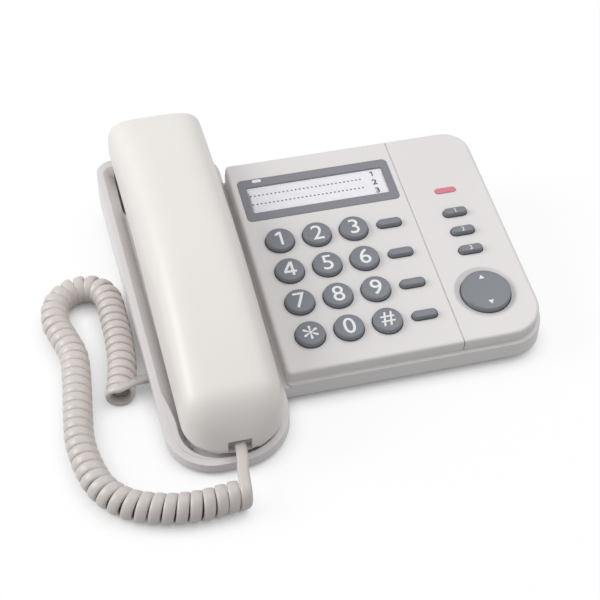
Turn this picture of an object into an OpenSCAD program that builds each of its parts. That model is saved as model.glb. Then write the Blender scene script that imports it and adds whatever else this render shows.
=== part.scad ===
// Corded desk telephone: a handset cradle on the left, a raised keypad deck on the right.
// Millimetres. X runs to the right, Y to the back and Z up from the table.
// The origin is on the table under the middle of the telephone, handset included.

/* [Base] */
// Width of the cradle's side of the base
cradle_w = 62.6; // [61:0.1:65]
// Depth of the base, front lip to rear wall of the cradle
base_d = 196; // [194:1:200]
// How far the handset reaches past the rear wall
overhang = 13.4; // [10:0.2:15]
// Wall of the moulded cases
wall = 2.2; // [2:0.1:2.6]
// Skin of the cradle tray
skin = 1.6; // [1.4:0.1:1.8]
// Height of the rubber feet under the lower case
foot_h = 1.8; // [1.6:0.1:2]
// Radius of a rubber foot
foot_r = 6; // [5:0.5:7]
// Thickness of the lower case's floor
floor_t = 1.6; // [1.4:0.1:1.8]
// Height of the upper case's lower edge at the front
skirt_front_h = 2.2; // [2:0.1:2.4]
// Height of the upper case's lower edge at the rear
skirt_rear_h = 13.8; // [12:0.5:15]

/* [Cradle] */
// Slope of the cradle's rim, in degrees
cradle_tilt = 7.63; // [7.2:0.1:8]
// Height of the rim at the front lip
rim_front_h = 6.5; // [6.4:0.1:7]
// Width of the flat rim
rim_w = 3.2; // [2.8:0.1:3.6]
// Width of the sloping face inside the rim
slope_w = 5.4; // [5:0.1:5.8]
// How much wider the cradle is than the handset
cradle_margin = 16.4; // [16:0.1:18]
// Depth of the tray under the rim
tray_depth = 3.6; // [3.4:0.1:4]
// Depth of the ear well under the rim
ear_well_depth = 12.4; // [12:0.2:14]
// Running gap around the handset where it sits in the cradle
seat_gap = 0.3; // [0.25:0.05:0.5]

/* [Deck] */
// Slope of the keypad deck, in degrees
deck_tilt = 9.8; // [9.4:0.1:10.2]
// Height of the deck's front edge
deck_front_h = 18; // [17.5:0.5:19]
// Width of the deck
deck_w = 127.4; // [120:0.1:134]
// Length of the deck along its slope
deck_l = 132.8; // [131:0.1:134]
// Height of the deck plate over the groove that runs round it
plate_h = 6; // [5.5:0.5:6.5]
// How far the body under the groove stands proud at the front
ledge = 1.2; // [1:0.1:1.6]
// Rounding of the deck plate's upper edge
edge_r = 1.5; // [1:0.1:2]
// Width of the separate side panel
side_panel_w = 42.8; // [42:0.1:44]
// Width of the seam beside the side panel
seam_w = 0.35; // [0.3:0.05:0.5]

/* [Keys] */
// Diameter of a dial key
key_d = 14; // [13:0.5:14.5]
// How far a dial key stands over the deck
key_rise = 2.6; // [2:0.1:3]
// Travel of a key
key_travel = 1.2; // [0.8:0.1:1.3]
// Gap between a key and the edge of its hole
key_gap = 0.3; // [0.25:0.05:0.4]
// Length of a function key
function_key_l = 12.2; // [11.6:0.2:13]
// Length of a memory key
memory_key_l = 11.8; // [11:0.2:12.6]
// Width of the function and memory keys
bar_key_w = 4.6; // [4.2:0.1:5]
// How far the function and memory keys stand over the deck
bar_key_rise = 2; // [1.4:0.1:2.4]
// Diameter of the volume key
volume_d = 24; // [23:0.5:25]
// How far the volume key stands over the deck
volume_rise = 1.7; // [1:0.1:2]
// Diameter of the dished ring round the volume key
volume_dish_d = 30.5; // [30:0.5:32]
// Tilt of the volume key each way, in degrees
volume_tilt = 3; // [2:0.5:3]

/* [Index] */
// Depth of the memory index frame along the deck
index_l = 27.6; // [27:0.2:28.4]
// Border of the frame at its left and right
index_border_x = 3.7; // [3.4:0.1:4.4]
// Border of the frame at its top and bottom
index_border_y = 5.1; // [4.8:0.1:5.6]

/* [Handset] */
// Height of the handset's back over the rim at the mouthpiece
crown_near = 24.6; // [23:0.2:27]
// Height of the handset's back over the rim at the grip
crown_grip = 39; // [36:0.5:40]
// Height of the handset's back over the rim at the earpiece
crown_far = 21; // [20:0.5:24]
// Wall of the handset's shells
hs_wall = 2.2; // [2:0.1:2.5]
// Diameter of the ear cap
ear_cap_d = 34; // [33:0.5:35]
// Depth of the ear cap under the rim
ear_cap_depth = 11.6; // [11:0.2:13]
// Travel of the handset off the hook that the lift stands for
lift_travel = 100; // [80:5:120]

/* [Cord] */
// Outer diameter of the coiled cord
coil_d = 13.6; // [13.2:0.1:14]
// Width of the flat cord
flat_w = 5.2; // [5:0.1:5.4]
// Thickness of the flat cord
flat_t = 2.6; // [2.4:0.1:2.8]

/* [Hidden] */

$fn = 48;
tiny = 0.01;
far = 300;

ivory = "#E9E6E1";
key_grey = "#7B7F86";
dark = "#2B2B2D";
steel = "#B9BBBE";

base_w = cradle_w + deck_w;
left_x = -base_w / 2;
right_x = base_w / 2;
front_y = -(base_d + overhang) / 2;
rear_y = front_y + base_d;
deck_left_x = right_x - deck_w;

// Planes that give the base its shape, as heights over Y = 0
rim_z = rim_front_h - front_y * tan(cradle_tilt);
skirt_tilt = atan((skirt_rear_h - skirt_front_h) / base_d);
skirt_z = skirt_front_h - front_y * tan(skirt_tilt);
deck_front_y = front_y + 35.4;
deck_z = deck_front_h - deck_front_y * tan(deck_tilt);
deck_front_v = deck_front_y / cos(deck_tilt);
deck_rear_v = deck_front_v + deck_l;
deck_mid_v = (deck_front_v + deck_rear_v) / 2;
inner_floor_z = foot_h + floor_t;
well_floor_z = inner_floor_z + 0.1 + 1;
seam_x = right_x - side_panel_w;
handset_w = cradle_w - cradle_margin;
half_w_near = handset_w / 2 - 0.4;
half_w_grip = handset_w / 2;
half_w_far = handset_w / 2 + 0.4;

// Keys and index keep their share of the keypad's width and of the deck's length
keypad_w = deck_w - side_panel_w;
key_pitch_x = 0.22 * keypad_w;
key_pitch_y = 0.147 * deck_l;
key_1 = [deck_left_x + 0.183 * keypad_w, deck_front_v + 0.585 * deck_l];
function_x = seam_x - 0.162 * keypad_w;
index_w = 0.922 * keypad_w;
index_place = [deck_left_x + 0.502 * keypad_w, deck_front_v + 0.805 * deck_l];
memory_x = right_x - 0.523 * side_panel_w;
memory_pitch = 0.093 * deck_l;
volume_place = [right_x - 0.549 * side_panel_w, deck_front_v + 0.201 * deck_l];
lamp_place = [memory_x, deck_front_v + 0.702 * deck_l];

// The handset, along the cradle's slope
handset_far_v = -front_y / cos(cradle_tilt) + 0.1;
handset_near_v = front_y / cos(cradle_tilt) + 3.9;
handset_mid_v = (handset_near_v + handset_far_v) / 2 - 8.65;
seam_n = 3;
face_bottom = 0.2;
near_round = 19;
far_round = 10;
near_dome = 17;
far_dome = 16;
profile_power = 4.5;
ring_count = 36;
ring_points = 20;

function skirt_at(y) = skirt_z + y * tan(skirt_tilt);
function rim_at(y) = rim_z + y * tan(cradle_tilt);
function deck_at(y) = deck_z + y * tan(deck_tilt);

module on_deck() { translate([0, 0, deck_z]) rotate([deck_tilt, 0, 0]) children(); }
module on_cradle() { translate([0, 0, rim_z]) rotate([cradle_tilt, 0, 0]) children(); }

// Half spaces, under and over a plane that rises to the back
module under(z, tilt) {
  translate([0, 0, z]) rotate([tilt, 0, 0]) translate([-far / 2, -far / 2, -far]) cube(far);
}
module over(z, tilt) {
  translate([0, 0, z]) rotate([tilt, 0, 0]) translate([-far / 2, -far / 2, 0]) cube(far);
}

// ---- outlines -------------------------------------------------------------------------

arc_steps = 10;
function arc_points(cx, cy, r, from, steps = arc_steps) =
  [for (i = [0:steps]) let (a = from + 90 * i / steps) [cx + r * cos(a), cy + r * sin(a)]];

// A box in plan with its own radius at each corner, each side moved in by inset
function round_box(x0, x1, y0, y1, r, inset = 0) = concat(
  arc_points(x1 - r[1], y0 + r[1], max(r[1] - inset, 0.3), 270),
  arc_points(x1 - r[2], y1 - r[2], max(r[2] - inset, 0.3), 0),
  arc_points(x0 + r[3], y1 - r[3], max(r[3] - inset, 0.3), 90),
  arc_points(x0 + r[0], y0 + r[0], max(r[0] - inset, 0.3), 180));

// The left wall leans out a little to the back, and both ends are round
flare = 3;
cradle_right_x = deck_left_x - 0.6;
front_left_r = 21.5;
front_right_r = 27;
rear_left_r = 9;
rear_right_r = 21;
front_right_in = 1.5;
function cradle_points(inset) = concat(
  arc_points(cradle_right_x - front_right_in - front_right_r, front_y + front_right_r,
    front_right_r - inset, 270),
  arc_points(cradle_right_x - rear_right_r, rear_y - rear_right_r, rear_right_r - inset, 0),
  arc_points(left_x + rear_left_r, rear_y - rear_left_r, max(rear_left_r - inset, 0.4), 90),
  arc_points(left_x + flare + front_left_r, front_y + front_left_r, front_left_r - inset, 180));

deck_rear_y = deck_rear_v * cos(deck_tilt) + 2;
deck_corner_r = [2.4, 18, 13, 2.4];
function deck_points(inset) =
  round_box(deck_left_x, right_x, deck_front_y - ledge, deck_rear_y, deck_corner_r, inset);
function plate_points(inset) =
  round_box(deck_left_x, right_x - 0.6, deck_front_v, deck_rear_v, deck_corner_r, inset);

module cradle_outline(inset = 0) { polygon(cradle_points(inset)); }
module deck_outline(inset = 0) { polygon(deck_points(inset)); }
module base_outline(inset = 0) {
  cradle_outline(inset);
  // the two outlines overlap, so the inset wall is open between them
  intersection() {
    deck_outline(inset);
    translate([deck_left_x + inset, -far / 2]) square(far);
  }
  if (inset > 0) {
    translate([deck_left_x - 8, deck_front_y - ledge + inset])
      square([16, deck_rear_y - deck_front_y + ledge - 2 * inset]);
  }
}

// A solid through a list of closed rings of points
function flat(lists) = [for (l = lists) for (p = l) p];
module loft(rings) {
  n = len(rings[0]);
  m = len(rings);
  sides = [for (i = [0:m - 2]) for (j = [0:n - 1])
    let (k = (j + 1) % n, a = i * n + j, b = i * n + k, c = a + n, d = b + n)
    each [[a, c, b], [b, c, d]]];
  first = [for (j = [0:n - 1]) j];
  last = [for (j = [n - 1:-1:0]) (m - 1) * n + j];
  polyhedron(points = flat(rings), faces = concat([first], sides, [last]));
}
function level(points, z) = [for (p = points) [p[0], p[1], z]];

// ---- base -----------------------------------------------------------------------------

lower_gap = 0.5;
lower_in = wall + lower_gap;
lip_h = 1.3;
lip_t = 1.4;
boss_r = 4;
screw_r = 1.5;
screw_head_r = 2.8;
screw_head_h = 1.8;
boss_split_z = 6.2;
case_screw_l = 7.5;
grip_x = (left_x + flare / 2 + deck_left_x) / 2 + 1.2;
case_screw_places = [[grip_x, front_y + 0.35 * base_d], [grip_x, front_y + 0.61 * base_d],
  [right_x - 8.4, deck_front_y + 24], [right_x - 8.4, deck_rear_y - 24]];
foot_places = [[left_x + 18, front_y + 26], [left_x + 16, rear_y - 20],
  [right_x - 22, deck_front_y + 14], [right_x - 20, deck_rear_y - 14]];
wall_slot_pitch = 83.3;
deck_mid_x = (deck_left_x + right_x) / 2;
wall_slot_x = deck_mid_x - 11;
vent_x = deck_mid_x + 3;
vent_y = deck_rear_y - 30;
vent_count = 5;
vent_pitch = 4.5;

// Handset cord jack in the left wall
jack_y = front_y + 61;
jack_w = 7.8;
jack_h = 4.2;
jack_l = 12;
jack_wall = 0.5;
jack_z0 = inner_floor_z + jack_wall;
jack_mid_z = jack_z0 + jack_h / 2;

// Line jack and slide switches in the rear wall of the deck
line_jack_x = deck_left_x + 40;
line_w = 10;
line_h = 7;
line_l = 13;
line_wall = 1.2;
line_z0 = 16;
switch_w = 9;
switch_h = 3.2;
switch_travel = 4;
switch_z = 24;
switch_places = [right_x - 43, right_x - 23];
rear_in_y = deck_rear_y - wall;

module case_bosses(z0, z1, r) {
  for (p = case_screw_places) translate([p[0], p[1], z0]) cylinder(r = r, h = z1 - z0);
}

module lower_case() color(ivory) {
  difference() {
    union() {
      translate([0, 0, foot_h]) linear_extrude(floor_t) base_outline(lower_in);
      intersection() {
        difference() {
          translate([0, 0, foot_h]) linear_extrude(40) base_outline(lower_in);
          translate([0, 0, foot_h + floor_t]) linear_extrude(60) base_outline(lower_in + lip_t);
        }
        under(skirt_z + lip_h, skirt_tilt);
      }
      case_bosses(foot_h, boss_split_z, boss_r);
    }
    // counterbored screw holes
    case_bosses(foot_h - 1, foot_h + 0.6 + screw_head_h, screw_head_r + 0.3);
    case_bosses(foot_h - 1, boss_split_z + 1, screw_r + 0.2);
    // two slots for the studs of a wall plate
    for (s = [-1, 1]) {
      translate([wall_slot_x, s * wall_slot_pitch / 2 - 10, foot_h - 1]) {
        cylinder(r = 4.4, h = floor_t + 2);
        translate([-2.2, 0, 0]) cube([4.4, 8, floor_t + 2]);
        translate([0, 8, 0]) cylinder(r = 2.2, h = floor_t + 2);
      }
    }
    // sound slots under the ringer
    for (i = [0:vent_count - 1]) {
      translate([vent_x - 8, vent_y + (i - (vent_count - 1) / 2) * vent_pitch - 1, foot_h - 1])
        cube([16, 2, floor_t + 2]);
    }
    jack_opening();
    line_opening();
  }
}

module jack_opening() {
  translate([left_x - 5, jack_y - jack_w / 2, jack_z0]) cube([16, jack_w, jack_h]);
}
module line_opening() {
  translate([line_jack_x - line_w / 2, deck_rear_y - 6, line_z0]) cube([line_w, 12, line_h]);
}

// Everything the upper case is cut from
module cradle_block() {
  intersection() {
    linear_extrude(80) cradle_outline();
    under(rim_z, cradle_tilt);
    over(skirt_z, skirt_tilt);
  }
}
// joins the two under the rim
module bridge_block() {
  intersection() {
    translate([cradle_right_x - 12, deck_front_y - ledge, 0])
      cube([16, deck_rear_y - deck_front_y + ledge, 60]);
    under(rim_z - 0.5, cradle_tilt);
    over(skirt_z, skirt_tilt);
  }
}
module deck_block() {
  difference() {
    intersection() {
      linear_extrude(80) deck_outline();
      over(skirt_z, skirt_tilt);
    }
    on_deck() translate([-far / 2, -far / 2, -plate_h]) cube(far);
  }
}
module plate_block() {
  on_deck() loft([level(plate_points(0), -plate_h - 0.4), level(plate_points(0), -edge_r),
    level(plate_points(edge_r * 0.13), -edge_r * 0.5), level(plate_points(edge_r * 0.45), -edge_r * 0.16),
    level(plate_points(edge_r), 0)]);
}
shelf_t = 1.8;
module deck_cavity() {
  // room under the left part of the deck plate
  intersection() {
    on_deck() translate([0, 0, -30]) linear_extrude(30 - wall) intersection() {
      polygon(plate_points(wall));
      translate([deck_left_x, -far / 2]) square([seam_x - lap - deck_left_x, far]);
    }
    linear_extrude(80) deck_outline(wall);
  }
  // room under the groove, all over
  difference() {
    translate([0, 0, -1]) linear_extrude(80) deck_outline(wall);
    on_deck() translate([-far / 2, -far / 2, -plate_h - shelf_t]) cube(far);
  }
  // window in the shelf that carries the side panel
  on_deck() translate([seam_x - lap - 1, deck_front_v + shelf_w, -plate_h - shelf_t - 4])
    cube([side_panel_w + lap + 1 - 12, deck_l - 2 * shelf_w, plate_h + shelf_t + 4 - wall]);
  cradle_door();
}
lap = 3;
shelf_w = 4.6;
// the two halves of the case are open to each other under the tray
module cradle_door() {
  intersection() {
    translate([deck_left_x - 6, deck_front_y - ledge + wall, 0])
      cube([12, deck_rear_y - deck_front_y + ledge - 2 * wall, 60]);
    under(rim_z - 3.6, cradle_tilt);
  }
}

// Tray and wells, as the room they take out of the cradle
module tray_room() {
  intersection() {
    on_cradle() loft([level(cradle_points(rim_w + slope_w), -tray_depth),
      level(cradle_points(rim_w), 0), level(cradle_points(rim_w), 30)]);
    translate([-far / 2, -far / 2, well_floor_z]) cube(far);
  }
}
module tray_body() {
  intersection() {
    on_cradle() loft([level(cradle_points(rim_w + slope_w - 1.4), -tray_depth - skin),
      level(cradle_points(rim_w - 1.2), -skin * 0.2), level(cradle_points(rim_w - 1.2), 1)]);
    translate([-far / 2, -far / 2, inner_floor_z + 0.1]) cube(far);
  }
}
ear_v = handset_far_v - 34.8;
ear_well_w = 2 * half_w_far + 2;
ear_well_front_v = ear_v - ear_cap_d / 2 - 1.4;
ear_well_rear_v = ear_v + ear_cap_d / 2 + 1.2;
module ear_well_plan(grow = 0) {
  polygon(round_box(grip_x - ear_well_w / 2 - grow, grip_x + ear_well_w / 2 + 1.5 * grow,
    ear_well_front_v - grow, ear_well_rear_v + grow, [7, 7, 7, 7]));
}
mouth_well_rear_v = handset_near_v + 42;
module mouth_well_plan(grow = 0) {
  intersection() {
    cradle_outline(rim_w + slope_w - grow);
    translate([-far / 2, mouth_well_rear_v - far + grow]) square(far);
  }
}
// at the front the well reaches out to the rim
mouth_front_y = front_y + 14;
module mouth_front_plan(inset, grow = 0) {
  intersection() {
    cradle_outline(inset);
    translate([-far / 2, mouth_front_y - far + grow]) square(far);
  }
}
module cradle_cavity() {
  difference() {
    intersection() {
      translate([0, 0, -1]) linear_extrude(80) cradle_outline(wall);
      under(rim_z - skin / cos(cradle_tilt), cradle_tilt);
    }
    tray_body();
    on_cradle() translate([0, 0, -ear_well_depth - skin]) linear_extrude(60) ear_well_plan(skin);
    intersection() {
      translate([0, 0, inner_floor_z + 0.1]) linear_extrude(60) {
        mouth_well_plan(skin + 0.5);
        mouth_front_plan(lower_in + lip_t + 0.3, 1.4);
      }
      under(rim_z, cradle_tilt);
    }
    intersection() {
      linear_extrude(60) mouth_front_plan(wall - 0.3, 1.4);
      over(skirt_z + lip_h + 0.2, skirt_tilt);
      under(rim_z, cradle_tilt);
    }
  }
}

module key_hole(d) { translate([0, 0, -wall - 5]) cylinder(d = d, h = wall + 10); }
module bar_plan(l, w) {
  polygon(concat(
    [for (i = [0:12]) let (a = -90 + 180 * i / 12) [(l - w) / 2 + w / 2 * cos(a), w / 2 * sin(a)]],
    [for (i = [0:12]) let (a = 90 + 180 * i / 12) [-(l - w) / 2 + w / 2 * cos(a), w / 2 * sin(a)]]));
}
module bar_hole(l) {
  translate([0, 0, -wall - 5]) linear_extrude(wall + 10)
    bar_plan(l + 2 * key_gap, bar_key_w + 2 * key_gap);
}

// Key places on the deck
function dial_place(column, row) = [key_1[0] + column * key_pitch_x, key_1[1] - row * key_pitch_y];
function function_place(row) = [function_x, key_1[1] - row * key_pitch_y];
function memory_place(row) = [memory_x, key_1[1] - row * memory_pitch];
lamp_l = 11;
lamp_w = 3.5;
index_sink = 0.9;

module at_place(p) { on_deck() translate([p[0], p[1], 0]) children(); }

hook_v = ear_well_front_v - 15;
hook_w = 12;
hook_l = 8;
hook_travel = 3.5;
hook_gap = 0.3;
board_boss_places = [[deck_left_x + 6, deck_front_v + 8], [deck_left_x + 6, key_1[1] + 11],
  [seam_x - 6, deck_front_v + 8], [seam_x - 6, key_1[1] + 11]];
board_top = -plate_h - 0.2;
board_t = 1.6;

module upper_case() color(ivory) {
  difference() {
    union() {
      cradle_block();
      bridge_block();
      deck_block();
      difference() {
        plate_block();
        // lap and room for the side panel
        on_deck() translate([seam_x - seam_w / 2, -far / 2, -plate_h]) cube(far);
      }
    }
    difference() {
      union() {
        deck_cavity();
        cradle_cavity();
      }
      // bosses that the case screws bite into
      intersection() {
        case_bosses(boss_split_z, 60, boss_r);
        union() {
          intersection() {
            under(rim_z - 2, cradle_tilt);
            translate([left_x, -far / 2, 0]) cube([base_w - deck_w, far, far]);
          }
          on_deck() translate([deck_left_x, -far / 2, -far - plate_h - 0.2]) cube(far);
        }
      }
      // bosses that carry the circuit board
      on_deck() for (p = board_boss_places) translate([p[0], p[1], board_top])
        cylinder(r = 3, h = plate_h);
      // rib that the side panel laps over
      on_deck() translate([seam_x - lap - 1.4, deck_front_v + 3, mat_top + 0.4])
        cube([1.4, deck_l - 6, -mat_top - wall - 0.4 + tiny]);
    }
    tray_room();
    intersection() {
      on_cradle() translate([0, 0, -ear_well_depth]) linear_extrude(60) ear_well_plan();
      translate([-far / 2, -far / 2, well_floor_z]) cube(far);
    }
    translate([0, 0, well_floor_z]) linear_extrude(60) {
      mouth_well_plan();
      mouth_front_plan(lower_in + lip_t + 0.4);
    }
    translate([0, 0, well_floor_z + 0.6]) linear_extrude(60) mouth_front_plan(rim_w + 0.2);
    // holes for the keys
    for (row = [0:3]) {
      for (column = [0:2]) at_place(dial_place(column, row)) key_hole(key_d + 2 * key_gap);
      at_place(function_place(row)) bar_hole(function_key_l);
    }
    // recess for the index frame
    at_place(index_place) translate([0, 0, -index_sink]) linear_extrude(10)
      polygon(round_box(-index_w / 2 - 0.1, index_w / 2 + 0.1, -index_l / 2 - 0.1,
        index_l / 2 + 0.1, [2.6, 2.6, 2.6, 2.6]));
    // hole for the hook plunger and slot for the hanger
    on_cradle() translate([grip_x - hook_w / 2 - hook_gap, hook_v - hook_l / 2 - hook_gap,
      -tray_depth - skin - 6]) cube([hook_w + 2 * hook_gap, hook_l + 2 * hook_gap, 20]);
    // pilot holes for the case screws
    for (p = case_screw_places) translate([p[0], p[1], boss_split_z - 1])
      cylinder(r = screw_r + 0.05, h = case_screw_l - 2);
    // pilot holes for the board screws
    on_deck() for (p = board_boss_places) translate([p[0], p[1], board_top - 1])
      cylinder(r = 1.1, h = 4.4);
    jack_opening();
    line_opening();
    for (x = switch_places) translate([x - switch_w / 2, deck_rear_y - 6, switch_z - switch_h / 2])
      cube([switch_w, 12, switch_h]);
  }
}

side_wall = 2;
volume_pin_r = 1.2;
volume_axis_n = -4.2;
volume_skirt_r = volume_d / 2 - 0.8;
module side_panel() color(ivory) {
  difference() {
    intersection() {
      plate_block();
      on_deck() translate([seam_x + seam_w / 2, -far / 2, -plate_h]) cube(far);
    }
    on_deck() difference() {
      translate([0, 0, -30]) linear_extrude(30 - wall) intersection() {
        polygon(plate_points(side_wall));
        translate([seam_x + side_wall, -far / 2]) square(far);
      }
      // lugs that hold the volume key's pins
      for (s = [-1, 1]) translate([volume_place[0] + s * (volume_skirt_r + 2.4) - 0.9,
        volume_place[1] - 2.4, volume_axis_n - 1.7]) cube([1.8, 4.8, 10]);
    }
    // the mat passes under the panel's left edge
    on_deck() translate([seam_x - 1, mat_v0 - 2, -plate_h - 1])
      cube([side_wall + 2, mat_v1 - mat_v0 + 4, mat_top + 0.4 + plate_h + 1]);
    for (row = [0:2]) at_place(memory_place(row)) bar_hole(memory_key_l);
    at_place(lamp_place) translate([0, 0, -8]) linear_extrude(16) bar_plan(lamp_l, lamp_w);
    at_place(volume_place) {
      key_hole(volume_d + 2 * key_gap);
      // shallow dished ring
      rotate_extrude() polygon([[volume_d / 2 + key_gap - 1, -1.1], [volume_d / 2 + key_gap + 0.6, -1.1],
        [volume_dish_d / 2 - 1, -0.5], [volume_dish_d / 2, 0], [volume_dish_d / 2, 1],
        [volume_d / 2 - 1, 1]]);
      rotate([0, 90, 0]) translate([-volume_axis_n, 0, -far / 8])
        cylinder(r = volume_pin_r + 0.05, h = far / 4 - 16.5 + 0);
    }
  }
}

module index_frame() color("#85838C") at_place(index_place) difference() {
  translate([0, 0, -index_sink]) linear_extrude(index_sink + 0.15)
    polygon(round_box(-index_w / 2, index_w / 2, -index_l / 2, index_l / 2, [2.5, 2.5, 2.5, 2.5]));
  translate([0, 0, -5]) linear_extrude(10) index_window(0);
}
module index_window(inset) {
  polygon(round_box(-index_w / 2 + index_border_x, index_w / 2 - index_border_x,
    -index_l / 2 + index_border_y, index_l / 2 - index_border_y, [1.2, 1.2, 1.2, 1.2], inset));
}
card_t = 0.3;
cover_t = 0.55;
module index_card() color("#F4F2F4") at_place(index_place)
  translate([0, 0, -index_sink]) linear_extrude(card_t) index_window(0.2);
module index_cover() color("#DDE6EA", 0.4) at_place(index_place)
  translate([0, 0, -index_sink + card_t]) linear_extrude(cover_t) index_window(0.1);

module ringer_lamp() color("#E8607A") at_place(lamp_place) {
  translate([0, 0, -wall]) linear_extrude(wall + 0.3) bar_plan(lamp_l - 0.2, lamp_w - 0.2);
  translate([0, 0, -wall - 1]) linear_extrude(1) bar_plan(lamp_l + 1.6, lamp_w + 1.6);
}

// ---- keys -----------------------------------------------------------------------------

flange_t = 1;
flange_gap = 0.2;
flange_n = -wall - flange_gap - flange_t;
key_round = 0.9;
key_crown = 0.15;
flange_w = 0.26 * (key_pitch_x - key_d);
module dial_key(column, row) color(key_grey) at_place(dial_place(column, row)) {
  cap_r = key_d / 2;
  side_top = key_rise - key_crown - key_round;
  rotate_extrude() polygon(concat(
    [[0, flange_n], [cap_r + flange_w, flange_n], [cap_r + flange_w, flange_n + flange_t],
      [cap_r, flange_n + flange_t], [cap_r, side_top]],
    [for (i = [1:5]) let (a = 90 * i / 5)
      [cap_r - key_round + key_round * cos(a), side_top + key_round * sin(a)]],
    [[cap_r * 0.5, key_rise - key_crown * 0.3], [0, key_rise]]));
}
module bar_key(p, l) color(key_grey) at_place(p) {
  translate([0, 0, flange_n]) linear_extrude(flange_t) bar_plan(l + 2, bar_key_w + 2);
  translate([0, 0, flange_n]) linear_extrude(bar_key_rise - 0.5 - flange_n) bar_plan(l, bar_key_w);
  translate([0, 0, bar_key_rise - 0.5]) linear_extrude(0.3) bar_plan(l - 0.4, bar_key_w - 0.4);
  translate([0, 0, bar_key_rise - 0.2]) linear_extrude(0.2) bar_plan(l - 1.1, bar_key_w - 1.1);
}
module volume_key() color(key_grey) at_place(volume_place) {
  rotate_extrude() polygon([[0, volume_axis_n + 1.6], [volume_skirt_r - 1.6, volume_axis_n + 1.6],
    [volume_skirt_r - 1.6, volume_axis_n - 0.8], [volume_skirt_r, volume_axis_n - 0.8],
    [volume_skirt_r, -1.6], [volume_d / 2, -1.2], [volume_d / 2, volume_rise - 0.9],
    [volume_d / 2 - 0.15, volume_rise - 0.5], [volume_d / 2 - 0.55, volume_rise - 0.2],
    [volume_d / 2 - 1.2, volume_rise - 0.1], [volume_d / 4, volume_rise - 0.02], [0, volume_rise]]);
  translate([0, 0, volume_axis_n]) rotate([0, 90, 0])
    for (s = [-1, 1]) translate([0, 0, s > 0 ? volume_skirt_r - 1 : -volume_skirt_r - 2.4])
      cylinder(r = volume_pin_r, h = 3.4);
}

mat_t = 0.8;
mat_top = board_top + mat_t;
dome_top = flange_n - key_travel - 0.2;
mat_x0 = deck_left_x + 5;
mat_x1 = memory_x + 9;
mat_v0 = key_1[1] - 3 * key_pitch_y - 10;
mat_v1 = key_1[1] + 9;
module keypad_mat() color("#4A4C50") on_deck() difference() {
  union() {
    translate([mat_x0 + 6, mat_v0, board_top])
      cube([mat_x1 - mat_x0 - 6, mat_v1 - mat_v0, mat_t]);
    for (row = [0:3]) {
      for (column = [0:2]) dome(dial_place(column, row), key_d / 2 - 2.5);
      dome(function_place(row), bar_key_w / 2);
    }
    for (row = [0:2]) dome(memory_place(row), bar_key_w / 2);
  }
  // room round the bosses and under the rocker
  for (p = board_boss_places) translate([p[0], p[1], board_top - 1]) cylinder(r = 3.6, h = 5);
  translate([volume_place[0], volume_place[1], board_top - 1]) cylinder(r = 16.5, h = 5);
}
module dome(p, r) { translate([p[0], p[1], board_top]) cylinder(r = r, h = dome_top - board_top); }

module circuit_board() color("#2F6B3C") on_deck() difference() {
  translate([mat_x0 - 2, mat_v0 - 3, board_top - board_t])
    cube([mat_x1 - mat_x0 + 3, mat_v1 - mat_v0 + 10, board_t]);
  for (p = board_boss_places) translate([p[0], p[1], board_top - board_t - 1])
    cylinder(r = 1.3, h = board_t + 2);
  translate([volume_place[0], volume_place[1], board_top - board_t - 1]) cylinder(r = 16.5, h = 5);
}
module board_screws() color(steel) on_deck() for (p = board_boss_places)
  translate([p[0], p[1], board_top - board_t]) {
    translate([0, 0, -1.4]) cylinder(r = 2, h = 1.4);
    cylinder(r = 1.05, h = board_t + 3);
  }

// ---- cradle pieces --------------------------------------------------------------------

hook_top = face_bottom - 0.3;
hook_flange_n = -tray_depth - skin - hook_travel - 0.3;
module hook_plunger() color(ivory) on_cradle() translate([grip_x, hook_v, 0]) {
  translate([-hook_w / 2, -hook_l / 2, hook_flange_n]) cube([hook_w, hook_l, hook_top - 0.8 - hook_flange_n]);
  translate([0, -hook_l / 2, hook_top - 0.8]) rotate([-90, 0, 0])
    linear_extrude(hook_l) polygon([[-hook_w / 2, 0], [-hook_w / 2 + 1, -0.8], [hook_w / 2 - 1, -0.8],
      [hook_w / 2, 0]]);
  translate([-hook_w / 2 - 1.5, -hook_l / 2 - 1.5, hook_flange_n - 1]) cube([hook_w + 3, hook_l + 3, 1]);
}
hook_switch_top = hook_flange_n - 1.3;
module hook_switch() color(dark) {
  intersection() {
    on_cradle() translate([grip_x - 5, hook_v - 8, hook_switch_top - 30]) cube([10, 16, 30]);
    translate([-far / 2, -far / 2, inner_floor_z]) cube(far);
  }
}
hanger_v = 46;
module handset_hanger() color(ivory) on_cradle() translate([grip_x, ear_well_front_v - 5, -tray_depth]) {
  translate([-5, -3, 0]) cube([10, 6, 1.6]);
  translate([-5, 1.4, 1.6]) cube([10, 1.6, 0.4]);
}

module cord_jack() color(dark) difference() {
  translate([left_x + flare + lower_in + lip_t + 0.1, jack_y - jack_w / 2 - 1, inner_floor_z])
    cube([jack_l + 1, jack_w + 2, jack_h + 2 * jack_wall]);
  translate([left_x, jack_y - jack_w / 2, jack_z0]) cube([jack_l + flare + lower_in + lip_t, jack_w, jack_h]);
}

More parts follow.
